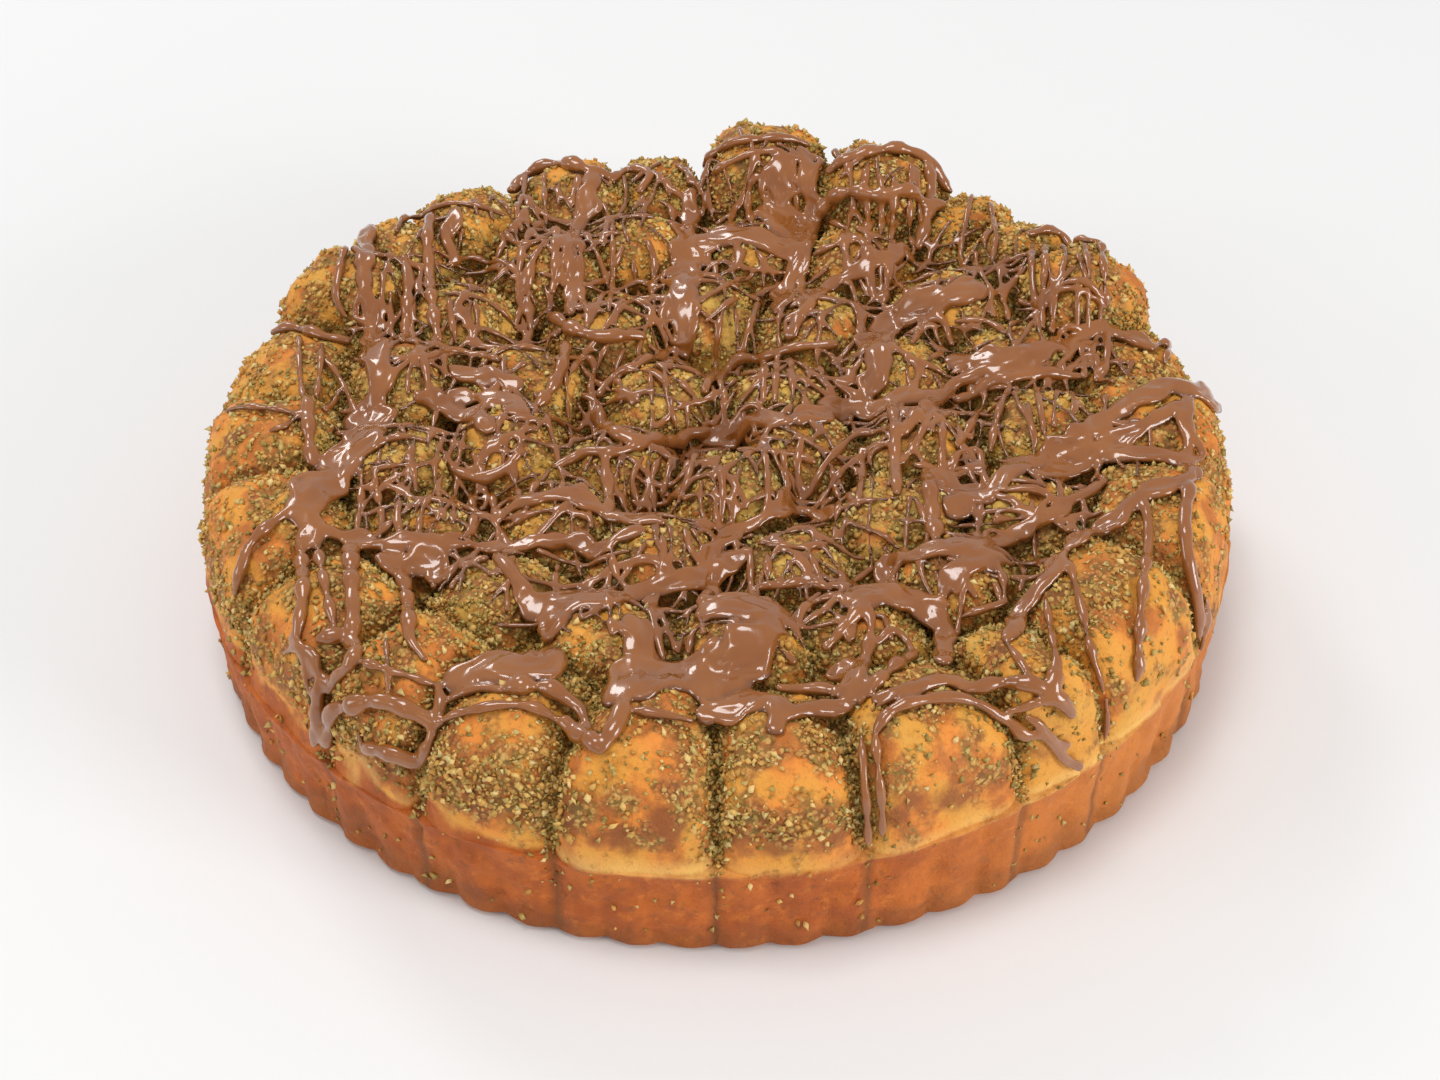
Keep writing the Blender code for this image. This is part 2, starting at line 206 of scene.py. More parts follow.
# Chocolate: width in mm, then the photo's pixels that the stroke runs through
LEFT_STROKES = (
    (5.5, ((368, 228), (364, 262), (366, 300), (372, 345), (374, 380))),
    (2.4, ((345, 250), (339, 275), (337, 298), (346, 318))),
    (7.0, ((376, 345), (382, 375), (378, 405))),
    (12.0, ((370, 405), (364, 438), (342, 466), (318, 490), (302, 510))),
    (3.4, ((274, 333), (298, 330), (324, 338), (346, 343))),
    (1.8, ((300, 336), (300, 372), (304, 404))),
    (1.9, ((322, 345), (320, 370), (316, 398))),
    (1.9, ((228, 412), (250, 408), (276, 410), (302, 417))),
    (1.7, ((272, 432), (288, 426), (303, 412))),
    (3.8, ((308, 400), (308, 430), (311, 464))),
    (7.5, ((296, 505), (308, 522), (318, 530))),
    (3.0, ((288, 513), (266, 530), (250, 547), (243, 568), (236, 594))),
    (3.6, ((404, 260), (408, 300), (402, 342))),
    (3.4, ((432, 216), (427, 240), (428, 268), (432, 300), (438, 340))),
    (5.0, ((456, 212), (448, 238), (452, 262))),
    (2.0, ((396, 232), (411, 215), (440, 207), (480, 208), (503, 216))),
    (2.0, ((446, 266), (470, 258), (498, 262), (518, 275))),
    (2.2, ((449, 300), (452, 322), (456, 344))),
    (1.8, ((474, 300), (477, 324), (472, 346))),
    (2.6, ((421, 350), (426, 378), (430, 402))),
    (2.2, ((396, 360), (428, 358), (452, 352), (480, 357), (500, 362))),
    (6.5, ((454, 371), (486, 378), (516, 386))),
    (6.0, ((418, 398), (444, 408), (472, 418), (492, 432))),
    (5.0, ((450, 396), (482, 399), (514, 404), (524, 414))),
    (2.2, ((372, 400), (386, 384), (410, 362))),
    (2.2, ((370, 452), (386, 442), (402, 438), (424, 442))),
    (2.0, ((362, 472), (361, 500), (357, 530))),
    (2.0, ((374, 468), (378, 495), (383, 520), (380, 540))),
    (1.9, ((376, 470), (396, 467), (412, 469), (416, 492))),
    (1.9, ((442, 476), (431, 498), (422, 512), (418, 538))),
    (1.9, ((456, 484), (449, 505), (436, 522))),
    (2.2, ((400, 500), (398, 520), (402, 542))),
    (5.0, ((300, 546), (340, 536), (382, 546), (422, 542), (462, 546))),
    (3.6, ((301, 548), (304, 595), (299, 634))),
    (2.6, ((318, 548), (326, 590), (335, 630))),
    (4.0, ((350, 546), (352, 590), (354, 640))),
    (7.5, ((384, 560), (402, 568), (428, 566), (446, 578))),
    (3.6, ((396, 566), (403, 590), (408, 612), (411, 634))),
    (2.2, ((448, 582), (458, 566), (474, 556))),
    (5.0, ((292, 641), (304, 660), (319, 684))),
    (4.0, ((322, 640), (345, 638), (358, 650), (350, 668), (322, 676))),
    (3.6, ((320, 684), (319, 710), (316, 744))),
    (4.2, ((318, 716), (344, 708), (374, 702), (400, 707), (424, 717), (442, 722))),
    (3.0, ((438, 690), (441, 706), (436, 724), (431, 744), (420, 756))),
    (4.1, ((366, 752), (395, 755), (428, 750))),
    (1.8, ((360, 736), (363, 748), (372, 756))),
    (1.6, ((386, 640), (388, 672), (390, 700))),
    (2.0, ((352, 664), (400, 674), (442, 686))),
    (2.6, ((405, 622), (411, 642), (424, 660))),
)
MIDDLE_STROKES = (
    (4.0, ((512, 192), (526, 171), (552, 165), (582, 170), (606, 177))),
    (1.9, ((527, 172), (524, 194), (516, 214), (522, 232))),
    (1.9, ((545, 174), (545, 198), (546, 224))),
    (7.0, ((592, 178), (588, 205), (577, 230))),
    (4.5, ((574, 232), (568, 256), (572, 284), (571, 314))),
    (3.0, ((610, 181), (630, 171), (650, 176), (640, 192))),
    (2.0, ((613, 226), (613, 258), (612, 286), (609, 312))),
    (2.4, ((581, 240), (580, 270), (583, 302), (592, 322))),
    (2.8, ((556, 232), (555, 262), (552, 292))),
    (2.8, ((540, 250), (530, 272), (528, 302), (531, 332))),
    (2.0, ((514, 262), (520, 292), (515, 330))),
    (2.2, ((504, 232), (522, 246), (546, 240))),
    (2.6, ((648, 244), (655, 270), (651, 302))),
    (2.2, ((618, 292), (640, 283), (662, 288))),
    (2.0, ((616, 316), (636, 302), (656, 312))),
    (6.5, ((691, 196), (690, 216), (682, 240))),
    (10.0, ((686, 242), (683, 280), (680, 312), (688, 344))),
    (9.0, ((700, 240), (740, 236), (774, 245), (802, 252))),
    (2.0, ((690, 270), (702, 256), (716, 249))),
    (2.0, ((697, 286), (708, 271), (724, 262))),
    (2.0, ((700, 302), (720, 290), (742, 278))),
    (2.0, ((706, 322), (720, 311), (738, 300))),
    (3.6, ((566, 346), (560, 370), (549, 392), (538, 406))),
    (4.0, ((552, 318), (572, 330), (600, 338), (640, 338))),
    (3.2, ((600, 396), (616, 378), (640, 366), (668, 351))),
    (2.0, ((568, 378), (580, 361), (594, 367), (590, 392), (592, 420))),
    (4.2, ((600, 410), (612, 432), (640, 443), (680, 440), (704, 432))),
    (1.8, ((664, 366), (667, 398), (676, 430))),
    (1.8, ((650, 372), (652, 404))),
    (3.2, ((556, 468), (582, 456), (614, 454), (646, 446))),
    (3.4, ((605, 458), (607, 488), (608, 516))),
    (2.0, ((642, 458), (632, 480), (637, 506))),
    (2.0, ((660, 458), (652, 482), (656, 516))),
    (2.0, ((684, 452), (668, 474), (662, 498))),
    (2.4, ((704, 452), (691, 474), (679, 504))),
    (5.0, ((500, 516), (530, 501), (562, 496), (592, 506), (622, 520), (662, 524))),
    (4.5, ((462, 420), (496, 405), (524, 414))),
    (2.0, ((506, 452), (514, 474), (521, 498))),
    (2.2, ((548, 472), (536, 488), (528, 500))),
    (3.4, ((452, 470), (482, 480), (506, 470), (518, 456))),
    (2.2, ((470, 492), (474, 516), (468, 540))),
    (2.2, ((492, 492), (496, 516), (500, 544))),
    (2.4, ((720, 466), (723, 492), (721, 522))),
    (4.4, ((470, 546), (520, 548), (566, 542), (606, 546), (640, 532))),
    (2.2, ((612, 548), (616, 574), (628, 592))),
    (2.2, ((662, 536), (663, 562), (656, 584))),
    (2.2, ((684, 530), (690, 552), (700, 566))),
    (4.2, ((498, 560), (518, 584), (534, 602))),
    (9.0, ((532, 612), (556, 600), (586, 600), (622, 600))),
    (2.4, ((512, 560), (516, 590), (524, 612))),
    (6.0, ((622, 600), (652, 590), (690, 580), (722, 566), (748, 554))),
    (12.0, ((462, 680), (492, 668), (524, 668), (552, 660))),
    (7.0, ((548, 640), (560, 618), (580, 606))),
    (4.0, ((500, 692), (530, 688), (556, 694), (580, 710))),
    (2.6, ((448, 719), (474, 711), (504, 706), (538, 711), (566, 726), (592, 744))),
    (2.4, ((574, 700), (582, 714), (592, 732))),
    (2.4, ((450, 700), (478, 690), (500, 692))),
    (9.0, ((632, 622), (640, 648), (628, 680), (612, 698))),
    (12.0, ((640, 690), (664, 676), (692, 682))),
    (12.0, ((706, 612), (740, 606), (776, 612))),
    (12.0, ((772, 624), (752, 648), (726, 672), (704, 694))),
    (8.0, ((706, 716), (728, 710), (750, 702), (768, 700))),
    (6.0, ((774, 700), (778, 716), (775, 728))),
    (4.6, ((566, 724), (584, 738), (600, 750))),
    (4.6, ((626, 700), (618, 724), (604, 748))),
    (2.4, ((630, 712), (652, 714), (672, 718), (690, 722))),
    (2.2, ((690, 652), (694, 634), (706, 622))),
    (2.4, ((686, 664), (704, 652), (716, 640))),
    (4.0, ((704, 604), (716, 580), (724, 560))),
    (2.4, ((752, 556), (752, 586), (756, 604))),
    (2.2, ((768, 556), (768, 584))),
    (2.6, ((752, 592), (778, 588), (804, 584), (830, 590))),
    (2.6, ((798, 626), (804, 610), (820, 602), (846, 599))),
    (3.2, ((826, 648), (840, 634), (852, 620), (866, 602))),
    (2.0, ((806, 548), (816, 572), (826, 590))),
)
RIGHT_STROKES = (
    (3.0, ((706, 166), (720, 151), (746, 142), (774, 140), (806, 146))),
    (2.4, ((714, 174), (732, 162), (752, 155), (776, 152), (794, 160))),
    (13.0, ((782, 164), (779, 198), (786, 234))),
    (6.5, ((802, 152), (810, 184), (812, 216), (802, 252), (788, 288), (778, 312))),
    (2.4, ((756, 176), (748, 200), (752, 226))),
    (4.0, ((830, 172), (856, 158), (890, 151), (926, 162), (950, 186))),
    (4.0, ((816, 216), (832, 200), (854, 192), (886, 196), (914, 196), (942, 206))),
    (2.4, ((868, 164), (865, 190), (868, 214), (867, 240))),
    (2.2, ((880, 176), (882, 208), (880, 234))),
    (2.2, ((894, 176), (893, 212), (890, 240))),
    (4.0, ((926, 166), (929, 196), (925, 226), (918, 248))),
    (4.6, ((906, 250), (880, 262), (850, 275), (822, 292), (802, 314), (790, 336))),
    (3.2, ((868, 240), (869, 268), (874, 300))),
    (2.8, ((890, 246), (888, 278), (884, 304))),
    (10.0, ((978, 290), (946, 298), (916, 308), (890, 325), (872, 346))),
    (8.0, ((872, 346), (879, 370), (870, 394))),
    (2.4, ((912, 344), (926, 324), (944, 322), (952, 346))),
    (2.2, ((956, 322), (984, 322), (1006, 334))),
    (1.9, ((972, 196), (965, 226), (960, 262))),
    (1.9, ((990, 204), (996, 236), (992, 262))),
    (2.0, ((984, 276), (1006, 262), (1032, 255))),
    (2.4, ((1032, 246), (1033, 280), (1040, 312))),
    (2.4, ((1044, 246), (1045, 284), (1042, 328))),
    (3.0, ((1028, 236), (1060, 236), (1086, 232), (1102, 242))),
    (2.2, ((1100, 244), (1103, 272), (1106, 304))),
    (2.0, ((1084, 246), (1089, 278))),
    (2.4, ((1048, 294), (1062, 285), (1084, 283), (1104, 306))),
    (9.5, ((958, 362), (1000, 362), (1042, 355))),
    (6.0, ((1042, 354), (1072, 341), (1104, 326))),
    (4.6, ((1104, 326), (1124, 338), (1150, 348))),
    (2.2, ((1056, 370), (1076, 350), (1098, 343))),
    (2.2, ((1064, 374), (1084, 358), (1096, 360), (1096, 382))),
    (2.4, ((1106, 330), (1107, 358), (1101, 382))),
    (2.0, ((1150, 350), (1168, 346), (1164, 364))),
    (3.6, ((958, 402), (982, 390), (1012, 380), (1048, 374), (1078, 378))),
    (7.0, ((1217, 391), (1192, 390), (1160, 390), (1130, 402))),
    (6.5, ((1130, 402), (1100, 425), (1070, 443), (1032, 462))),
    (7.5, ((1032, 462), (1000, 480), (970, 498), (950, 514))),
    (4.6, ((1180, 406), (1150, 425), (1120, 438), (1090, 455), (1060, 472))),
    (4.4, ((1186, 400), (1188, 440), (1192, 478))),
    (3.6, ((1190, 480), (1184, 520), (1187, 558), (1193, 592), (1197, 636))),
    (6.0, ((1190, 466), (1158, 456), (1118, 456), (1078, 463), (1040, 476))),
    (5.0, ((1190, 478), (1156, 492), (1126, 508), (1104, 530), (1066, 550))),
    (4.4, ((1104, 484), (1074, 500), (1048, 516), (1016, 534), (974, 544), (936, 550))),
    (2.6, ((1006, 492), (1036, 492), (1056, 506), (1050, 520))),
    (2.8, ((1143, 500), (1148, 536), (1143, 580), (1138, 630), (1136, 680))),
    (2.4, ((1068, 550), (1054, 574), (1034, 594))),
    (2.2, ((948, 478), (958, 454), (978, 452), (984, 480))),
    (2.2, ((954, 478), (970, 473), (986, 476))),
    (2.4, ((986, 398), (972, 424), (956, 446))),
    (2.4, ((1010, 388), (998, 420), (990, 452))),
    (2.0, ((1034, 384), (1040, 408), (1044, 436))),
    (5.6, ((990, 500), (964, 496), (944, 480), (926, 474))),
    (5.0, ((990, 550), (950, 552), (912, 556), (884, 566))),
    (2.4, ((765, 358), (764, 402))),
    (2.2, ((778, 358), (775, 402))),
    (2.2, ((789, 362), (793, 398))),
    (3.2, ((704, 392), (724, 374), (750, 358), (786, 352), (834, 346))),
    (2.0, ((725, 388), (724, 424))),
    (2.6, ((834, 384), (862, 403), (884, 412))),
    (7.0, ((704, 440), (744, 430), (786, 424))),
    (7.5, ((800, 422), (842, 411), (884, 406), (938, 400))),
    (3.4, ((892, 404), (896, 432), (895, 462), (897, 494))),
    (2.3, ((800, 502), (816, 480), (840, 450), (862, 435), (890, 430))),
    (2.3, ((812, 512), (830, 490), (851, 465), (872, 450), (892, 446))),
    (2.6, ((802, 440), (797, 468), (802, 500))),
    (2.2, ((764, 452), (767, 490), (765, 518))),
    (2.2, ((782, 452), (786, 484), (784, 510))),
    (4.6, ((700, 562), (730, 536), (762, 520), (800, 512), (834, 516))),
    (2.2, ((768, 546), (800, 549), (826, 545))),
    (4.0, ((904, 434), (922, 412), (946, 393), (976, 378), (1002, 370))),
    (2.2, ((916, 450), (925, 426), (938, 410))),
    (2.2, ((942, 416), (941, 460), (944, 490))),
    (2.4, ((862, 452), (863, 480), (858, 506))),
    (4.4, ((926, 476), (930, 506), (936, 540))),
    (9.0, ((852, 602), (884, 596), (914, 604), (938, 622))),
    (3.0, ((858, 598), (870, 622), (868, 650), (860, 684))),
    (8.0, ((846, 664), (856, 684), (850, 702))),
    (3.6, ((780, 690), (812, 692), (846, 690))),
    (5.0, ((784, 716), (816, 710), (848, 706))),
    (2.4, ((878, 644), (891, 632), (906, 642), (914, 658))),
    (3.2, ((870, 694), (896, 668), (914, 656))),
    (4.6, ((876, 702), (910, 692), (948, 680), (966, 690))),
    (6.0, ((938, 604), (945, 636), (944, 662))),
    (5.6, ((884, 564), (896, 590), (906, 606))),
    (7.0, ((946, 590), (956, 572), (980, 562), (1004, 560))),
    (2.2, ((958, 594), (970, 573), (990, 562), (1002, 578), (1004, 600))),
    (2.4, ((962, 618), (984, 611), (1006, 604))),
    (5.0, ((1062, 556), (1042, 586), (1022, 612), (1008, 638))),
    (2.0, ((1046, 600), (1050, 630), (1056, 664), (1056, 696))),
    (2.2, ((1004, 640), (1015, 656), (1028, 676))),
    (4.1, ((1030, 682), (1044, 692), (1060, 702), (1070, 714))),
    (4.4, ((1056, 664), (1052, 682), (1044, 700))),
    (2.4, ((1008, 712), (1028, 706), (1046, 704))),
    (3.6, ((966, 690), (1000, 684), (1034, 690))),
    (3.2, ((878, 730), (894, 711), (922, 702), (950, 699), (980, 706))),
    (3.0, ((980, 706), (1006, 722), (1028, 738), (1052, 746), (1078, 766))),
    (2.4, ((1028, 718), (1046, 736), (1066, 748))),
    (2.2, ((862, 738), (864, 780), (868, 846))),
    (2.2, ((876, 736), (879, 778), (882, 838))),
    (2.2, ((1068, 562), (1074, 582), (1083, 616), (1091, 656), (1102, 692))),
    (2.0, ((1205, 600), (1206, 622), (1200, 650))),
    (1.8, ((1105, 702), (1106, 722), (1104, 740))),
)

# Passes of thin drizzle: direction in degrees, spacing, share that fell,
# and the stretch across its direction that the pass covers, all in mm
PASSES = (
    (90, 4.0, 0.60, (-112, 118)),
    (55, 6.5, 0.48, (-96, 70)),
    (125, 7.0, 0.42, (-90, 90)),
    (-4, 6.0, 0.48, (-92, 104)),
)
THIN_WIDTHS = (1.0 * MM, 1.9 * MM)
THIN_WIDTH_CHANGE = 0.22
THIN_WIDTH_SIZE = 11 * MM
THIN_SEED = 21
# A pass reaches this far both ways. Its lines stray from their places by this
# share of the spacing, lean by this slope, wander by this much over this
# length, and break off in stretches of about this length
THIN_REACH = 135 * MM
THIN_STRAY = 0.3
THIN_LEAN = 0.035
THIN_WANDER = 1.6 * MM
THIN_WANDER_SIZE = 45 * MM
THIN_BREAK_SIZE = 50 * MM
THIN_FALL = 2.2
# A stretch has more pieces than this
THIN_FEWEST = 3
# How far from the middle thin drizzle fell at most, in mm, for angles from
# -180 to 180, and by how much less it may have fallen
THIN_LIMIT_ANGLES = (-180, -135, -110, -90, -60, -30, 0, 60, 90, 130, 180)
THIN_LIMITS = (108, 104, 100, 98, 102, 110, 120, 124, 126, 124, 108)
THIN_LIMIT_CHANGE = 8

# Herb grains and nut bits: how many, and their smallest and largest sizes
GRAIN_COUNT = 46000
GRAIN_SIZES = (0.32 * MM, 0.80 * MM)
GRAIN_SEED = 5
NUT_COUNT = 23000
NUT_SIZES = (0.45 * MM, 1.25 * MM)
NUT_SEED = 15
# Above 1, small crumbs are more common
SIZE_POWER = 1.6
SIZE_CHANGE = (0.7, 1.4)
CORNER_CHANGE = (0.7, 1.3)
CRUMB_FLAT = 0.6
# A crumb's middle is laid this share of its height over the crust
CRUMB_LIFT = 0.6
# Crumbs are up to this much darker, and this much more in a crease, where the extra darkness is
# painted shade
SHADE_CHANGE = 0.56
CREASE_PAINTED_SHADE = 0.16
# Crumbs gather this near to a crease
CREASE_REACH = 3.0 * MM
# They cling to the faces of the outer rolls too, about this share of the rise up
FACE_LIFT = 0.52
FACE_SPREAD = 0.24
# Few lie on the side above the rim line, up to this height, or elsewhere on it
BARE_HEIGHT = 8 * MM
BARE_SHARE = 0.92
SIDE_SHARE = 0.6
FEWEST = 0.03
# Shapes of a crumb: corners and triangles of a four-sided and an eight-sided bit
GRAIN_SHAPE = (np.array([(1, 1, 1), (1, -1, -1), (-1, 1, -1), (-1, -1, 1)], float),
               np.array([(0, 1, 2), (0, 3, 1), (0, 2, 3), (1, 3, 2)]))
NUT_SHAPE = (np.array([(1, 0, 0), (0, 1, 0), (-1, 0, 0), (0, -1, 0), (0, 0, 1), (0, 0, -1)],
                      float),
             np.array([(0, 1, 4), (1, 2, 4), (2, 3, 4), (3, 0, 4),
                       (1, 0, 5), (2, 1, 5), (3, 2, 5), (0, 3, 5)]))

# The camera: the photo's frame, and where the lens stands
FRAME_WIDTH = 1440
FRAME_HEIGHT = 1080
LENS_MM = 67.5
SENSOR_MM = 36.0
CAMERA_ELEVATION = 40.53
CAMERA_DISTANCE = 0.759
CAMERA_AIM = (0.001, 0.0, 0.0148)

# The light: an even world, and soft boxes by place, width and power
WORLD_STRENGTH = 0.50
LIGHT_AIM = (0, 0, 0.03)
LIGHTS = {
    "overhead": ((-0.3, -0.1, 2.3), 0.8, 17),
    "window": ((-1.0, 1.7, 1.5), 0.6, 9),
    "front": ((-0.4, -2.0, 1.4), 0.6, 1),
    "right": ((1.9, -1.1, 0.75), 0.9, 23),
    "left": ((-1.8, -0.6, 0.9), 0.7, 6.5),
}
FLOOR_HALF = 4.0

# Colours of the crust, of its wall and of the chocolate
GOLD = (0.82, 0.355, 0.048)
OLIVE = (0.70, 0.42, 0.080)
ORANGE = (0.86, 0.275, 0.040)
RUST = (0.48, 0.140, 0.026)
PALE = (0.95, 0.58, 0.165)
BROWN = (0.21, 0.075, 0.018)
GREEN = (0.24, 0.150, 0.028)
TAN = (0.42, 0.150, 0.036)
TAN_DARK = (0.30, 0.088, 0.020)
# A darker moss for the creases: the colour of crumbs gathered there, darkened in part as painted
# crease shade
MOSS_AND_CREASE_SHADE = (0.33, 0.205, 0.042)
STRAW = (0.72, 0.46, 0.13)
BRICK = (0.57, 0.140, 0.016)
# Painted light: a lighter orange for the wall's right side
BRICK_PAINTED_LIGHT = (0.74, 0.265, 0.042)
BRICK_DARK = (0.42, 0.092, 0.012)
CHOCOLATE = (0.285, 0.088, 0.015)
CHOCOLATE_LIGHT = (0.335, 0.112, 0.022)
# Painted shade for the chocolate's low flanks, next to the crust
CHOCOLATE_PAINTED_SHADE = (0.105, 0.032, 0.007)
FLOOR_WHITE = (0.87, 0.87, 0.87)
# Shades of the crumbs, from dark to light
GRAIN_STOPS = ((0.0, (0.11, 0.058, 0.012)), (0.3, (0.26, 0.160, 0.030)),
               (0.6, (0.42, 0.275, 0.055)), (0.85, (0.60, 0.43, 0.12)),
               (1.0, (0.75, 0.58, 0.24)))
NUT_STOPS = ((0.0, (0.18, 0.065, 0.014)), (0.3, (0.40, 0.175, 0.034)),
             (0.6, (0.62, 0.32, 0.066)), (0.85, (0.76, 0.47, 0.12)),
             (1.0, (0.86, 0.64, 0.26)))


def new_object(name, points, faces, smooth=True):
    """An object at the origin from an array of points and a list of faces."""
    mesh = bpy.data.meshes.new(name)
    mesh.from_pydata(np.asarray(points).tolist(), [], [list(f) for f in faces])
    mesh.update()
    mesh.polygons.foreach_set("use_smooth", np.full(len(mesh.polygons), smooth))
    item = bpy.data.objects.new(name, mesh)
    bpy.context.scene.collection.objects.link(item)
    return item


def point_values(mesh, name):
    """The mesh's point places, as co, or its point normals, as normal."""
    flat = np.empty(len(mesh.vertices) * 3)
    mesh.vertices.foreach_get(name, flat)
    return flat.reshape(-1, 3)


def apply_modifiers(item):
    """Replaces the object's mesh by what its modifiers make of it."""
    bpy.context.view_layer.update()
    made = item.evaluated_get(bpy.context.evaluated_depsgraph_get())
    mesh = bpy.data.meshes.new_from_object(made)
    item.modifiers.clear()
    item.data = mesh
    mesh.name = item.name


def give_value(mesh, name, values):
    """Stores one number for each point, for the material to read."""
    layer = mesh.attributes.new(name, "FLOAT", "POINT")
    layer.data.foreach_set("value", np.asarray(values, float))


def waves(points, size, seed, count=30):
    """A smooth uneven value of spread about 1: the sum of plane waves that
    run in random directions, with lengths near size."""
    draw = np.random.default_rng(seed)
    ahead = draw.normal(size=(count, points.shape[1]))
    ahead /= np.linalg.norm(ahead, axis=1)[:, None]
    ahead *= 2 * math.pi / (size * draw.uniform(0.7, 1.5, (count, 1)))
    phase = draw.uniform(0, 2 * math.pi, count)
    return np.cos(points @ ahead.T + phase).sum(1) * math.sqrt(2 / count)


def bell(values, middle, spread):
    """1 at the middle, falling to both sides as a bell curve."""
    return np.exp(-((values - middle) / spread) ** 2)


def per_roll(listed, rest, table):
    """One value for each roll: the listed ones, and the rest for all others."""
    return np.array([listed.get(k, rest) for k in range(len(table))])


def closed_rings(rings, first, last):
    """Points and faces of a closed skin over rings of points, with a middle
    point at each end."""
    count = len(rings[0])
    k = np.arange(count)
    n = (k + 1) % count
    low = 1 + np.arange(len(rings) - 1)[:, None] * count
    walls = np.stack([low + k, low + n, low + count + n, low + count + k], -1).reshape(-1, 4)
    top = 1 + (len(rings) - 1) * count
    end = np.full(count, 1 + len(rings) * count)
    floor = np.stack([np.zeros(count, int), 1 + n, 1 + k], -1)
    roof = np.stack([top + k, top + n, end], -1)
    points = np.vstack([first[None]] + list(rings) + [last[None]])
    return points, floor.tolist() + walls.tolist() + roof.tolist()


def turned(radius, z, turn):
    """A ring of points, with its radius and height in each direction."""
    return np.stack([radius * np.cos(turn), radius * np.sin(turn), z + 0 * turn], -1)


def rim_height(turn):
    """The rim is level but for a tilt, highest at one side."""
    return RIM_HEIGHT + RIM_TILT * np.cos(turn - RIM_TILT_ANGLE)


def over_rim(points):
    """Height of points over the rim line."""
    return points[:, 2] - rim_height(np.arctan2(points[:, 1], points[:, 0]))


def side_share(points):
    """1 on the bread's side and 0 on its top, with an even rise between."""
    radius = np.hypot(points[:, 0], points[:, 1])
    return np.clip((radius - SIDE_RADIUS) / SIDE_FADE, 0, 1)


def seam_share(turn):
    """1 on a seam between two outer rolls and 0 away from it: a bell curve
    of the distance round the wall."""
    apart = np.abs((turn[..., None] - np.radians(CREASES) + math.pi) % (2 * math.pi) - math.pi)
    return np.exp(-(apart.min(-1) * RIM_RADIUS / SEAM_WIDTH) ** 2)


def foot_skin():
    """The fluted wall: its radius grows with height, less a scallop that
    fades upwards and the seams, closed by the low core."""
    turn = np.linspace(0, 2 * math.pi, FLUTE_COUNT * FLUTE_POINTS, endpoint=False)
    scallop = np.abs(np.sin(turn * FLUTE_COUNT / 2))
    seam = seam_share(turn)
    rim = rim_height(turn)
    rings = []
    heights = np.concatenate([[0, HEEL_EDGE], np.linspace(HEEL_HEIGHT, RIM_HEIGHT, FOOT_RINGS)])
    for z in heights:
        share = z / RIM_HEIGHT
        depth = FLUTE_DEPTH * (1 - FLUTE_FADE * share)
        radius = FOOT_RADIUS + (RIM_RADIUS - FOOT_RADIUS) * share + depth * (scallop - 0.5)
        radius = radius - SEAM_DEPTH * seam * share ** 0.5
        radius = radius - HEEL_INSET * max(0, 1 - z / HEEL_HEIGHT) ** 1.5
        rings.append(turned(radius, share * rim, turn))
    for radius, z in CORE_RINGS:
        rings.append(turned(radius, z, turn))
    return closed_rings(rings, np.zeros(3), np.array([0, 0, CORE_HEIGHT]))


def roll_table():
    """One row for each roll: ring radius, angle, half length, half width,
    rise, squareness seen from above, squareness seen from the side, lean
    outwards, lean sideways, and the phase of its uneven outline."""
    rows = []
    edges = np.radians(CREASES + (CREASES[0] + 360,))
    for k in range(len(CREASES)):
        half_angle = (edges[k + 1] - edges[k]) / 2
        rows.append((OUTER_RING_RADIUS, edges[k] + half_angle, OUTER_HALF_LENGTH,
                     half_angle * OUTER_RING_RADIUS * OUTER_OVERLAP,
                     OUTER_RISE + RISE_CHANGE.get(k, 0), *OUTER_SQUARE))
    for count, radius, start, rise in INNER_RINGS:
        for k in range(count):
            rows.append((radius, math.radians(start + 360 * k / count),
                         INNER_HALF_LENGTH, math.pi * radius / count * INNER_OVERLAP,
                         rise, *INNER_SQUARE))
    for angle, radius in MIDDLE_ROLLS:
        rows.append((radius, math.radians(angle), MIDDLE_HALF_WIDTH,
                     MIDDLE_HALF_WIDTH, MIDDLE_RISE, *MIDDLE_SQUARE))
    table = np.array(rows)
    draw = np.random.default_rng(UNEVEN_SEED)
    uneven = draw.normal(0, 1, (len(table), 8)).clip(-UNEVEN_LIMIT, UNEVEN_LIMIT)
    inner = np.arange(len(table)) >= len(CREASES)
    table[:, 0] += inner * UNEVEN_PLACE * uneven[:, 0]
    table[:, 1] += inner * UNEVEN_PLACE * uneven[:, 1] / table[:, 0]
    table[:, 2] *= 1 + inner * UNEVEN_SIZE * uneven[:, 2]
    table[:, 3] *= 1 + inner * UNEVEN_SIZE * uneven[:, 3]
    table[:, 4] += UNEVEN_RISE * uneven[:, 4]
    lean = UNEVEN_LEAN * uneven[:, 5:7]
    phase = math.pi * uneven[:, 7:8]
    return np.hstack([table, lean, phase])


def outline(turn, square, phase):
    """Distance of a roll's edge in direction turn, for a roll of half size 1:
    a superellipse with a slow uneven wave."""
    edge = (np.abs(np.cos(turn)) ** square + np.abs(np.sin(turn)) ** square) ** (-1 / square)
    return edge * (1 + UNEVEN_OUTLINE * np.sin(2 * turn + phase)
                   + UNEVEN_OUTLINE * np.sin(3 * turn + 2 * phase))


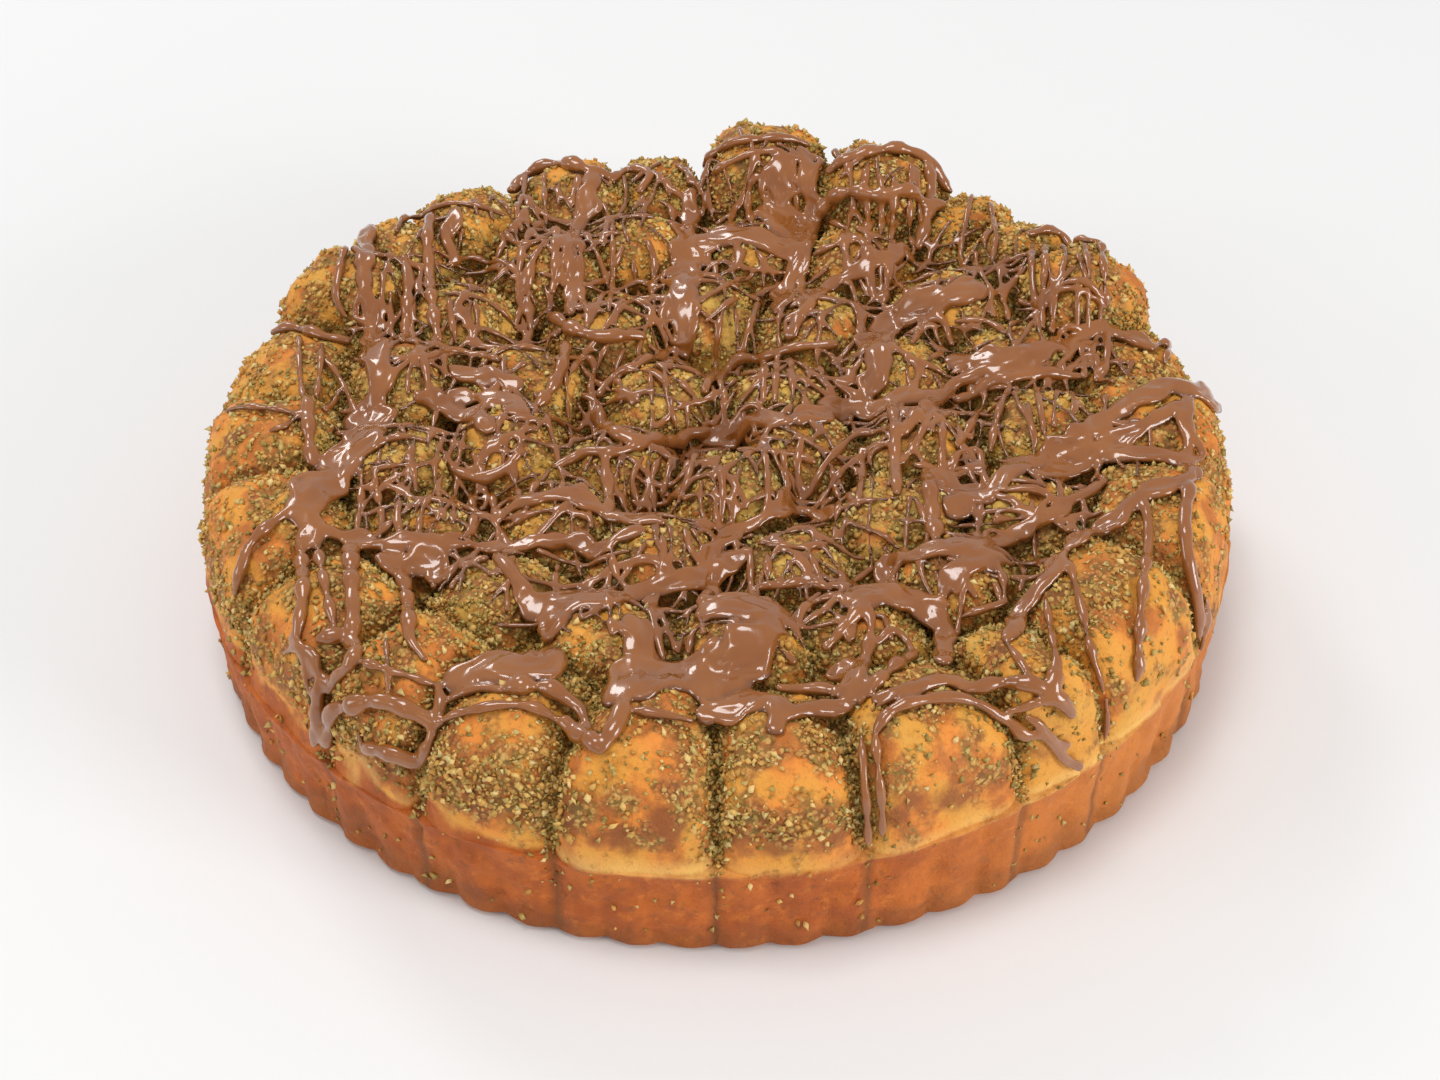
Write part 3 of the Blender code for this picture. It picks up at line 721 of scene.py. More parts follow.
def roll_skin(row):
    """One roll: its outline, shrunk by a power of the cosine while it climbs
    by the same power of the sine, over a narrower root inside the foot."""
    radius, angle, length, width, rise, square, dome, lean_out, lean_side, phase = row
    turn = np.linspace(0, 2 * math.pi, ROLL_SIDES, endpoint=False)
    edge = outline(turn, square, phase)
    along = np.array([math.cos(angle), math.sin(angle)])
    across = np.array([-math.sin(angle), math.cos(angle)])
    part = math.pi / 2 * (1 - (1 - np.arange(ROLL_RINGS) / ROLL_RINGS) ** RING_CROWDING)
    size = np.append(ROOT_SCALE, np.cos(part) ** (2 / dome))[:, None]
    lift = np.append(0, np.sin(part) ** (2 / dome))[:, None]
    u = edge * size * np.cos(turn)
    v = edge * size * np.sin(turn)
    z = ROLL_START + rise * lift * (1 + lean_out * u + lean_side * v)
    z[0] = ROLL_ROOT
    flat = radius * along + u[..., None] * length * along + v[..., None] * width * across
    rings = np.concatenate([flat, z[..., None]], -1)
    low = np.append(radius * along, ROLL_ROOT)
    high = np.append(radius * along, ROLL_START + rise)
    return closed_rings(list(rings), low, high)


def roll_reach(x, y, row):
    """Places in one roll's own directions, in its half sizes, and how far out
    they lie: 1 on the roll's outline."""
    radius, angle, length, width = row[:4]
    dx = x - radius * math.cos(angle)
    dy = y - radius * math.sin(angle)
    u = (dx * math.cos(angle) + dy * math.sin(angle)) / length
    v = (dy * math.cos(angle) - dx * math.sin(angle)) / width
    return u, v, np.hypot(u, v) / outline(np.arctan2(v, u), row[5], row[9])


def crust_height(x, y, table):
    """Height of the rolls over a place seen from above."""
    places, heights = zip(*((RIM_RADIUS, RIM_HEIGHT), *CORE_RINGS, (0, CORE_HEIGHT)))
    z = np.interp(np.hypot(x, y), places[::-1], heights[::-1])
    for row in table:
        rise, _, dome, out, side = row[4:9]
        u, v, reach = roll_reach(x, y, row)
        lift = (1 - np.minimum(reach, 1) ** dome) ** (1 / dome)
        z = np.maximum(z, ROLL_START + rise * lift * (1 + out * u + side * v))
    return z


def roll_distance(points, table):
    """How far each point lies outside each roll, roughly, in metres: the
    roll's own rounded measure of the point, less 1, times its half width."""
    away = np.empty((len(table), len(points)))
    for k, row in enumerate(table):
        width, rise, _, dome, out, side = row[3:9]
        u, v, reach = roll_reach(points[:, 0], points[:, 1], row)
        lift = np.maximum(points[:, 2] - ROLL_START, 0) / (rise * (1 + out * u + side * v))
        away[k] = ((reach ** dome + lift ** dome) ** (1 / dome) - 1) * width
    return away


def fuse(base, pieces):
    """One union joins the pieces to the base, and is applied."""
    group = bpy.data.collections.new("fused")
    bpy.context.scene.collection.children.link(group)
    for piece in pieces:
        bpy.context.scene.collection.objects.unlink(piece)
        group.objects.link(piece)
    union = base.modifiers.new("union", "BOOLEAN")
    union.operation = "UNION"
    union.operand_type = "COLLECTION"
    union.collection = group
    union.solver = "MANIFOLD"
    apply_modifiers(base)
    for piece in pieces:
        bpy.data.objects.remove(piece, do_unlink=True)
    bpy.data.collections.remove(group)


def crust(table):
    """The baked bread: rolls and fluted foot joined, then pressed in by
    lumps and grooves, with the values that its material reads stored on its
    points."""
    bread = new_object("crust", *foot_skin())
    rolls = [new_object(f"roll_{k}", *roll_skin(row)) for k, row in enumerate(table)]
    fuse(bread, rolls)
    mesh = bread.data
    points = point_values(mesh, "co")
    away = roll_distance(points, table)
    nearest = away.argmin(0)
    second = np.partition(away, 1, axis=0)[1]
    press = np.zeros(len(points))
    for size, depth, seed in LUMPS:
        press += depth * np.minimum(waves(points, size, seed) - LUMP_LEVEL, 0)
    groove = GROOVE_DEPTH * np.exp(-np.maximum(second, 0) / GROOVE_WIDTH)
    press -= groove * (points[:, 2] > GROOVE_START)
    press *= np.clip(points[:, 2] / FLAT_CALM, 0, 1)
    press *= 1 - bell(over_rim(points), 0, RIM_CALM)
    points = points + point_values(mesh, "normal") * press[:, None]
    mesh.vertices.foreach_set("co", points.ravel())
    mesh.update()
    store_looks(mesh, points, nearest, second, table)
    mesh.polygons.foreach_set("use_smooth", np.full(len(mesh.polygons), True))
    mesh.set_sharp_from_angle(angle=SHARP_ANGLE)
    return bread


def store_looks(mesh, points, nearest, second, table):
    """Values for the material: the crease between rolls, a shade for each roll, the wall's seams,
    how toasted, brown, pale and gritty the crust is, how much painted light falls on the wall's
    right side, and its height over the wall's edge."""
    draw = np.random.default_rng(LOOKS_SEED)
    shade = draw.uniform(0, 1, len(table))
    toasted = TOASTED_MOST * draw.uniform(0, 1, len(table)) ** TOASTED_POWER
    for index, share in TOASTED.items():
        toasted[index] = share
    turn = np.arctan2(points[:, 1], points[:, 0])
    radius = np.hypot(points[:, 0], points[:, 1])
    side = side_share(points)
    browned = np.interp(np.degrees(turn), BROWNED_ANGLES, BROWNED_HEIGHTS) * MM
    browned *= side * (1 + 0.4 * waves(points, *BROWNED_WAVES))
    above = over_rim(points) - browned
    lift = np.clip((points[:, 2] - ROLL_START) / table[nearest, 4], 0, 1)
    toast = waves(points, *TOAST_WAVES) + 2.2 * toasted[nearest] - 1.35
    band = BAND_HEIGHT * (1 + 0.45 * waves(points, *BAND_WAVES))
    bands = per_roll(PALE_BANDS, PALE_REST, table)[nearest]
    pale = side * bands * np.exp(-np.clip(above / np.maximum(band, 1 * MM), 0, 9) ** 2)
    gritty = per_roll(GRITTY, GRITTY_REST, table)[nearest]
    grit = 0.5 + 0.32 * waves(points, *GRIT_WAVES)
    grit += side * (1.3 * gritty * bell(lift, FACE_LIFT, FACE_SPREAD) - 0.55)
    faces = per_roll(BROWN_FACES, BROWN_REST, table)[nearest]
    brown = side * faces * bell(lift, BROWN_LIFT, BROWN_SPREAD)
    looks = {
        "crease": np.clip(second / CREASE_SEEN, 0, 1),
        "tint": shade[nearest] * np.where(radius > OUTER_RADIUS, OUTER_TINT, 1),
        "seam": seam_share(turn),
        "toast": 1 / (1 + np.exp(-4 * toast)),
        "brown": brown * (0.8 + 0.3 * waves(points, *BROWN_WAVES)),
        "golden": np.interp(np.degrees(turn), LIT_SIDE_ANGLES, LIT_SIDE_SHARES),
        "above": above / MM,
        "pale": pale,
        "grit": np.clip(grit, 0, 1),
    }
    for name, values in looks.items():
        give_value(mesh, name, values)


def neighbours(values, reach, axis):
    """The grid once for each shift of up to reach cells along the axis, with
    its edge carried outwards."""
    pad = [(0, 0), (0, 0)]
    pad[axis] = (reach, reach)
    wide = np.pad(values, pad, mode="edge")
    count = values.shape[axis]
    return [np.take(wide, np.arange(k, k + count), axis) for k in range(2 * reach + 1)]


def widest(values, reach, pick):
    """The highest or lowest value within reach cells, along both axes."""
    for axis in (0, 1):
        values = pick.reduce(neighbours(values, reach, axis))
    return values


def blurred(values, times):
    """Each pass takes the mean of every cell and its neighbours."""
    for _ in range(times):
        for axis in (0, 1):
            near = neighbours(values, 1, axis)
            values = sum(part * share for part, share in zip(near, BLUR_SHARES))
    return values


def camera_stand():
    """The lens's place, and the direction back to it from what it sees."""
    elevation = math.radians(CAMERA_ELEVATION)
    back = np.array([0, -math.cos(elevation), math.sin(elevation)])
    return np.array(CAMERA_AIM) + CAMERA_DISTANCE * back, back


def camera_rays(places):
    """Rays through pixels of the photo's frame: the lens, and a direction
    for each place."""
    lens, back = camera_stand()
    right = np.array([1.0, 0, 0])
    up = np.cross(back, right)
    scale = SENSOR_MM / LENS_MM / FRAME_WIDTH
    offset = (np.array(places, float) - (FRAME_WIDTH / 2, FRAME_HEIGHT / 2)) * scale
    return lens, offset[:, :1] * right - offset[:, 1:] * up - back


class Lay:
    """The surface that chocolate lies on: the crust with its narrow gaps
    bridged, as heights and slopes on a plan grid."""

    def __init__(self, table):
        size = np.ceil((FIELD_HIGH - FIELD_LOW) / CELL).astype(int)
        x = FIELD_LOW[0] + CELL * np.arange(size[0])
        y = FIELD_LOW[1] + CELL * np.arange(size[1])
        height = crust_height(*np.meshgrid(x, y, indexing="ij"), table)
        reach = round(BRIDGED / CELL)
        closed = widest(widest(height, reach, np.maximum), reach, np.minimum)
        self.size = size
        self.height = blurred(closed, HEIGHT_BLUR)
        self.slope_x, self.slope_y = np.gradient(blurred(self.height, SLOPE_BLUR), CELL)
        self.level = 1 / np.sqrt(1 + self.slope_x ** 2 + self.slope_y ** 2)

    def at(self, values, places):
        """Values of the grid at places, mixed from the four cells around."""
        spot = (places - FIELD_LOW[:2]) / CELL
        spot = np.clip(spot, 0, self.size[:2] - 1.001)
        i, j = spot.astype(int).T
        s, t = (spot - np.stack([i, j], -1)).T
        return (values[i, j] * (1 - s) * (1 - t) + values[i + 1, j] * s * (1 - t)
                + values[i, j + 1] * (1 - s) * t + values[i + 1, j + 1] * s * t)

    def under(self, pixels):
        """Places seen from above where the camera's rays through the pixels
        first meet the surface, or come nearest to it."""
        lens, ahead = camera_rays(pixels)
        z = np.arange(FIELD_HIGH[2], FIELD_LOW[2], -CAST_STEP)
        spots = lens + ahead[:, None] * ((z - lens[2]) / ahead[:, 2:])[..., None]
        height = self.at(self.height, spots[..., :2].reshape(-1, 2)).reshape(spots.shape[:2])
        height = np.where(np.hypot(spots[..., 0], spots[..., 1]) > RIM_RADIUS, -1.0, height)
        gap = z - height
        first = np.where((gap < 0).any(1), (gap < 0).argmax(1), gap.argmin(1))
        return spots[np.arange(len(spots)), first, :2]

    def evened(self, places):
        """The route again, with its places evenly apart on the surface."""
        points = self.route(places)[0]
        length = np.append(0, np.cumsum(np.linalg.norm(np.diff(points, axis=0), axis=1)))
        at = np.linspace(0, length[-1], max(3, round(length[-1] / PIECE_LENGTH) + 1))
        return np.column_stack([np.interp(at, length, places[:, k]) for k in (0, 1)])

    def route(self, places):
        """Points on the surface over the places, and the surface's normals."""
        z = self.at(self.height, places)
        normal = np.stack([-self.at(self.slope_x, places), -self.at(self.slope_y, places),
                           np.ones(len(places))], -1)
        normal /= np.linalg.norm(normal, axis=1)[:, None]
        return np.column_stack([places, z]), normal


def smooth_route(places, step):
    """Points on a smooth curve through the places, about one step apart."""
    p = np.array(places, float)
    p = np.vstack([2 * p[0] - p[1], p, 2 * p[-1] - p[-2]])
    pieces = []
    for a, b, c, d in zip(p[:-3], p[1:-2], p[2:-1], p[3:]):
        count = max(2, math.ceil(np.linalg.norm(c - b) / step))
        t = np.linspace(0, 1, count, endpoint=False)[:, None]
        pieces.append(0.5 * (2 * b + (c - a) * t + (2 * a - 5 * b + 4 * c - d) * t ** 2
                             + (3 * b - a - 3 * c + d) * t ** 3))
    return np.vstack(pieces + [p[-2:-1]])


class Chocolate:
    """Chocolate worked out as one field: each strand adds a falling power of
    the distance to it, and the skin lies where the sum is 1, so that strands
    which touch run into one another."""

    def __init__(self, lay):
        self.lay = lay
        self.total = np.zeros(lay.size, np.float32)
        self.near = np.full(lay.size, FAR_AWAY, np.float32)
        self.axes = [FIELD_LOW[k] + CELL * np.arange(lay.size[k]) for k in range(3)]

    def block(self, low, high):
        """Slices of the cells between two corners."""
        first = np.clip(((low - FIELD_LOW) / CELL).astype(int), 0, self.lay.size)
        last = np.clip(((high - FIELD_LOW) / CELL).astype(int) + 2, 0, self.lay.size)
        return tuple(slice(a, b) for a, b in zip(first, last))

    def strand(self, places, half, flat, lift=0.0):
        """Adds a strand along the places: for each of its short straight
        pieces, the distance to the piece, measured 1 / flat times longer
        along the crust's normal, less the strand's half width there."""
        points, normal = self.lay.route(places)
        points = points + normal * (half * flat * LAID_UP + lift)[:, None]
        start, end = points[:-1], points[1:]
        margin = half.max() + REACH
        for k in range(len(start)):
            spots = self.block(np.minimum(start[k], end[k]) - margin,
                               np.maximum(start[k], end[k]) + margin)
            x, y, z = (axis[s] for axis, s in zip(self.axes, spots))
            if 0 in (len(x), len(y), len(z)):
                continue
            ahead = end[k] - start[k]
            dx = x[:, None, None] - start[k, 0]
            dy = y[None, :, None] - start[k, 1]
            dz = z[None, None, :] - start[k, 2]
            t = (dx * ahead[0] + dy * ahead[1] + dz * ahead[2]) / (ahead @ ahead)
            t = np.clip(t, 0, 1)
            dx, dy, dz = dx - t * ahead[0], dy - t * ahead[1], dz - t * ahead[2]
            up = normal[k]
            rise = dx * up[0] + dy * up[1] + dz * up[2]
            away = np.sqrt(dx * dx + dy * dy + dz * dz + rise * rise * (1 / flat ** 2 - 1))
            away = away - (half[k] + (half[k + 1] - half[k]) * t)
            np.minimum(self.near[spots], away, out=self.near[spots])
        self.settle(self.block(points.min(0) - margin, points.max(0) + margin))

    def stroke(self, width, pixels, seed):
        """A traced stroke: one strand, or where it is wide a pool of even
        thickness with strands that wander along it as ridges."""
        middle = self.lay.evened(smooth_route(self.lay.under(pixels), ROUTE_STEP))
        ahead = np.gradient(middle, axis=0)
        side = np.stack([-ahead[:, 1], ahead[:, 0]], -1)
        side /= np.maximum(np.linalg.norm(side, axis=1), 1e-9)[:, None]
        along = np.arange(len(middle))[:, None] * PIECE_LENGTH
        step = np.arange(len(middle))
        ends = np.minimum(1, END_SHARE + END_STEP * np.minimum(step, step[::-1]))
        width = width * MM * (1 + WIDTH_CHANGE * waves(along, WIDTH_SIZE, seed * 11)) * ends
        if width.mean() < POOL_WIDTH:
            self.strand(middle, width / 2, THIN_FLAT)
            return
        self.pool(middle, width * POOL_SHARE)
        count = round(width.mean() / RIDGE_APART)
        for k in range(count):
            shift = ((k + 0.5) / count - 0.5) * width * RIDGE_SHARE
            wander = waves(along + k, RIDGE_WANDER_SIZE, seed * 7 + k) * RIDGE_WANDER
            half = np.interp(waves(along, RIDGE_HALF_SIZE, seed * 13 + k), (-1, 1), RIDGE_HALF)
            ridge = middle + side * (shift + wander)[:, None]
            self.strand(ridge, half * ends, THIN_FLAT, RIDGE_LIFT)

    def pool(self, places, half):
        """Adds a pool along the places. Its distance is measured along the
        slope from the places, and up from the crust half / thickness times
        longer, so that it follows every dip as a film."""
        margin = half.max() + REACH
        for k in range(len(places) - 1):
            start, ahead = places[k], places[k + 1] - places[k]
            low = np.append(np.minimum(start, start + ahead) - margin, FIELD_LOW[2])
            high = np.append(np.maximum(start, start + ahead) + margin, FIELD_HIGH[2])
            spots = self.block(low, high)
            x, y, z = (axis[s] for axis, s in zip(self.axes, spots))
            dx, dy = x[:, None] - start[0], y[None, :] - start[1]
            t = np.clip((dx * ahead[0] + dy * ahead[1]) / (ahead @ ahead), 0, 1)
            plan = (dx - t * ahead[0]) ** 2 + (dy - t * ahead[1]) ** 2
            size = half[k] + (half[k + 1] - half[k]) * t
            level = self.lay.level[spots[:2]]
            plan = plan / level ** 2
            rise = (z - self.lay.height[spots[:2]][..., None]) * level[..., None]
            away = np.sqrt(plan[..., None] + (rise * size[..., None] / POOL_THICKNESS) ** 2)
            away = (away - size[..., None]) * POOL_THICKNESS / size[..., None] * POOL_EDGE
            np.minimum(self.near[spots], away, out=self.near[spots])
        self.settle(self.block(np.append(places.min(0) - margin, FIELD_LOW[2]),
                               np.append(places.max(0) + margin, FIELD_HIGH[2])))

    def settle(self, spots):
        """Adds what is in the near field to the sum, and clears it."""
        self.total[spots] += np.exp(-np.minimum(self.near[spots], 5 * REACH) / MELT)
        self.near[spots] = FAR_AWAY

    def covers(self, points):
        """True for points inside the chocolate."""
        cell = ((points - FIELD_LOW) / CELL + 0.5).astype(int)
        inside = ((cell >= 0) & (cell < self.lay.size)).all(1)
        cell = np.clip(cell, 0, self.lay.size - 1)
        return inside & (self.total[tuple(cell.T)] > 1)

    def skin(self):
        """Points and faces of the chocolate's skin."""
        field = -MELT * np.log(np.maximum(self.total, 1e-12))
        floor = self.lay.height - UNDERSIDE / self.lay.level ** 3
        under = (floor[..., None] - self.axes[2]) * self.lay.level[..., None]
        return skin_of(np.maximum(field, under), FIELD_LOW, CELL)


def skin_of(field, low, step):
    """The closed skin where the field is zero: a point in each cell that the
    skin crosses, at the mean of its crossings of the cell's twelve edges, and
    a quad around each grid edge whose ends lie on different sides."""
    inside = field < 0
    inner = inside[:-1, :-1, :-1].astype(np.int8)
    corners = [(i, j, k) for i in (0, 1) for j in (0, 1) for k in (0, 1)]
    n = np.array(field.shape) - 1
    for i, j, k in corners[1:]:
        inner += inside[i:n[0] + i, j:n[1] + j, k:n[2] + k]
    crossed = (inner > 0) & (inner < 8)
    index = np.full(tuple(n), -1, np.int32)
    index[crossed] = np.arange(crossed.sum())
    cells = np.argwhere(crossed)
    total = np.zeros((len(cells), 3))
    hits = np.zeros(len(cells))
    for axis in range(3):
        unit = np.eye(3, dtype=int)[axis]
        for corner in corners:
            if corner[axis]:
                continue
            a, b = field[tuple((cells + corner).T)], field[tuple((cells + corner + unit).T)]
            cut = (a < 0) != (b < 0)
            t = a / np.where(cut, a - b, 1)
            total += cut[:, None] * (np.array(corner) + t[:, None] * unit)
            hits += cut
    points = low + step * (cells + total / hits[:, None])
    faces = []
    for axis in range(3):
        b, c = (axis + 1) % 3, (axis + 2) % 3
        low_end = np.take(inside, np.arange(field.shape[axis] - 1), axis)
        high_end = np.take(inside, np.arange(1, field.shape[axis]), axis)
        at = np.argwhere(low_end != high_end)
        at = at[(at[:, b] > 0) & (at[:, c] > 0) & (at[:, b] < n[b]) & (at[:, c] < n[c])]
        leaving = inside[tuple(at.T)]
        step_b = np.eye(3, dtype=int)[b]
        step_c = np.eye(3, dtype=int)[c]
        ring = [at - step_b - step_c, at - step_c, at, at - step_b]
        quad = np.stack([index[tuple(place.T)] for place in ring], -1)
        faces.append(np.where(leaving[:, None], quad, quad[:, ::-1]))
    return points, np.vstack(faces)


def thin_limit(places):
    """How far from the middle thin drizzle fell in each place's direction."""
    turn = np.degrees(np.arctan2(places[:, 1], places[:, 0]))
    return np.interp(turn, THIN_LIMIT_ANGLES, THIN_LIMITS) * MM


def thin_routes():
    """Routes of the thin drizzle: near-parallel lines for each pass, which
    wander a little and break off where a slow uneven value is low."""
    draw = np.random.default_rng(THIN_SEED)
    for direction, spacing, share, (low, high) in PASSES:
        turn = math.radians(direction)
        ahead = np.array([math.cos(turn), math.sin(turn)])
        across = np.array([ahead[1], -ahead[0]])
        along = np.arange(-THIN_REACH, THIN_REACH, PIECE_LENGTH)
        for place in np.arange(low, high, spacing) * MM:
            seed = int(draw.integers(1, 10 ** 6))
            place = place + draw.normal(0, THIN_STRAY) * spacing * MM
            lean = draw.normal(0, THIN_LEAN)
            wander = waves(along[:, None], THIN_WANDER_SIZE, seed) * THIN_WANDER
            places = (along[:, None] * ahead
                      + (place + lean * along + wander)[:, None] * across)
            falls = waves(along[:, None], THIN_BREAK_SIZE, seed + 1)
            falls = falls + THIN_FALL * (share - 0.5) > 0
            limit = thin_limit(places) - draw.uniform(0, THIN_LIMIT_CHANGE) * MM
            falls &= np.hypot(*places.T) < limit
            edges = np.flatnonzero(np.diff(np.concatenate([[0], falls, [0]])))
            for first, last in zip(edges[::2], edges[1::2]):
                if last - first > THIN_FEWEST:
                    yield places[first:last], draw.uniform(*THIN_WIDTHS), seed


def thick_drizzle(lay):
    """The chocolate of the traced strokes."""
    chocolate = Chocolate(lay)
    for seed, (width, pixels) in enumerate(LEFT_STROKES + MIDDLE_STROKES + RIGHT_STROKES):
        chocolate.stroke(width, pixels, seed)
    return chocolate


def thin_drizzle(lay):
    """The chocolate of the thin passes."""
    chocolate = Chocolate(lay)
    for places, width, seed in thin_routes():
        places = lay.evened(places)
        along = np.arange(len(places))[:, None] * PIECE_LENGTH
        change = THIN_WIDTH_CHANGE * waves(along, THIN_WIDTH_SIZE, seed + 2)
        half = width / 2 * (1 + change)
        chocolate.strand(places, half, THIN_FLAT)
    return chocolate


def poured(name, chocolate):
    """A piece of chocolate, thinned to the most triangles it may have, with its height over the
    crust stored for the material, which paints shade with it low on the strands."""
    points, faces = chocolate.skin()
    item = new_object(name, points, faces)
    if 2 * len(faces) > MOST_TRIANGLES:
        thin = item.modifiers.new("thin", "DECIMATE")
        thin.ratio = MOST_TRIANGLES / (2 * len(faces))
        apply_modifiers(item)
    points = point_values(item.data, "co")
    height = (points[:, 2] - chocolate.lay.at(chocolate.lay.height, points[:, :2])) / MM
    give_value(item.data, "height", height)
    return item


class Ground:
    """The crust's triangles, for strewing crumbs on: their corners, normals
    and areas, how near a crease they lie, and how open they are to crumbs."""

    def __init__(self, bread, table):
        mesh = bread.data
        mesh.calc_loop_triangles()
        corners = np.empty(len(mesh.loop_triangles) * 3, np.int32)
        mesh.loop_triangles.foreach_get("vertices", corners)
        points = point_values(mesh, "co")
        self.corners = [points[k] for k in corners.reshape(-1, 3).T]
        a, b, c = self.corners
        cross = np.cross(b - a, c - a)
        self.area = np.linalg.norm(cross, axis=1)
        self.up = cross / np.maximum(self.area, 1e-12)[:, None]
        self.middle = (a + b + c) / 3
        away = roll_distance(self.middle, table)
        nearest = away.argmin(0)
        second = np.partition(away, 1, axis=0)[1]
        above = over_rim(self.middle)
        side = side_share(self.middle)
        self.crease = np.exp(-np.maximum(second, 0) / CREASE_REACH)
        gritty = per_roll(GRITTY, GRITTY_REST, table)[nearest]
        self.gritty = (side < 0.5) | (gritty > 0.3) | (self.crease > 0.4)
        lift = (self.middle[:, 2] - ROLL_START) / table[nearest, 4]
        self.face = side * gritty ** 2 * bell(lift, FACE_LIFT, FACE_SPREAD)
        bare = side * (1 - self.crease) * np.exp(-np.clip(above / BARE_HEIGHT, 0, 9) ** 2)
        spread = 1 - BARE_SHARE * bare - SIDE_SHARE * side * (1 - self.crease)
        self.open = np.where(above > 0, np.maximum(spread, FEWEST), FEWEST)
        self.open *= self.middle[:, 2] > FLAT_CALM

    def places(self, count, seed, weight):
        """Seeded places on the triangles, as many as area and weight ask,
        with the normal and the nearness of a crease there."""
        draw = np.random.default_rng(seed)
        share = weight * self.open * self.area
        chosen = draw.choice(len(share), count, p=share / share.sum())
        s, t = draw.uniform(0, 1, (2, count, 1))
        over = s + t > 1
        s, t = np.where(over, 1 - s, s), np.where(over, 1 - t, t)
        a, b, c = (corner[chosen] for corner in self.corners)
        return a + s * (b - a) + t * (c - a), self.up[chosen], self.crease[chosen]


def strew(name, ground, chocolates, count, sizes, seed, weight, shape):
    """Crumbs of one kind as one mesh: each is the shape's corners, stretched,
    roughened and turned by a seeded draw, and rests on the crust. None lies
    under the chocolate."""
    corner, faces = shape
    place, up, crease = ground.places(2 * count, seed, weight)
    covered = [chocolate.covers(place + up * sizes[0]) for chocolate in chocolates]
    free = np.flatnonzero(~np.any(covered, axis=0))[:count]
    place, up, crease = place[free], up[free], crease[free]
    count = len(free)
    draw = np.random.default_rng(seed + 1)
    size = sizes[0] + (sizes[1] - sizes[0]) * draw.uniform(0, 1, (count, 1)) ** SIZE_POWER
    size = size * draw.uniform(*SIZE_CHANGE, (count, 3))
    size[:, 2] *= CRUMB_FLAT
    place = place + up * size[:, 2:] * CRUMB_LIFT
    frames = np.linalg.qr(draw.normal(size=(count, 3, 3)))[0]
    frames *= np.sign(np.linalg.det(frames))[:, None, None]
    rough = draw.uniform(*CORNER_CHANGE, (count, len(corner), 1))
    bits = np.einsum("nij,nkj->nki", frames, corner[None] * size[:, None] * rough)
    bits = place[:, None, :] + bits
    faces = faces[None] + np.arange(count)[:, None, None] * len(corner)
    item = new_object(name, bits.reshape(-1, 3), faces.reshape(-1, 3))
    # Each crumb has its own random tone, darker near a crease as painted shade
    shade = 1 - draw.uniform(0, 1, count) * (SHADE_CHANGE + CREASE_PAINTED_SHADE * crease)
    give_value(item.data, "shade", np.repeat(shade, len(corner)))
    return item


def herb_grains(ground, chocolates):
    """Fine green-brown grains, thick in the creases and in patches."""
    weight = 0.30 + 2.8 * ground.crease + 0.5 * (waves(ground.middle, *HERB_WAVES) > 0.25)
    weight = weight + 2.0 * ground.face
    return strew("herb_grains", ground, chocolates, GRAIN_COUNT, GRAIN_SIZES, GRAIN_SEED,
                 weight, GRAIN_SHAPE)


def nut_bits(ground, chocolates):
    """Golden to brown bits of ground nut, in patches over the rolls."""
    patch = waves(ground.middle, *NUT_WAVES) + 0.5 * waves(ground.middle, *NUT_SMALL_WAVES)
    weight = 0.10 + 1.5 * ground.crease + 2.0 * np.clip(patch - 0.15, 0, 0.6)
    weight = np.where(ground.gritty, weight, weight * 0.15) + 5.0 * ground.face
    return strew("nut_bits", ground, chocolates, NUT_COUNT, NUT_SIZES, NUT_SEED,
                 weight, NUT_SHAPE)


class Value:
    """A socket that carries a number or a colour. Arithmetic on it adds Math
    nodes to its material."""

    def __init__(self, paint, socket):
        self.paint = paint
        self.socket = socket

    def math(self, operation, first, second):
        return self.paint.node("ShaderNodeMath", {"operation": operation}, {0: first, 1: second})

    def __add__(self, other):
        return self.math("ADD", self, other)

    def __sub__(self, other):
        return self.math("SUBTRACT", self, other)

    def __rsub__(self, other):
        return self.math("SUBTRACT", other, self)

    def __mul__(self, other):
        return self.math("MULTIPLY", self, other)

    __radd__ = __add__
    __rmul__ = __mul__

    def above(self, low, high):
        """0 below low, 1 above high, and a smooth rise between them."""
        return self.paint.node("ShaderNodeMapRange", {"interpolation_type": "SMOOTHSTEP"},
                               {"Value": self, "From Min": low, "From Max": high}, "Result")


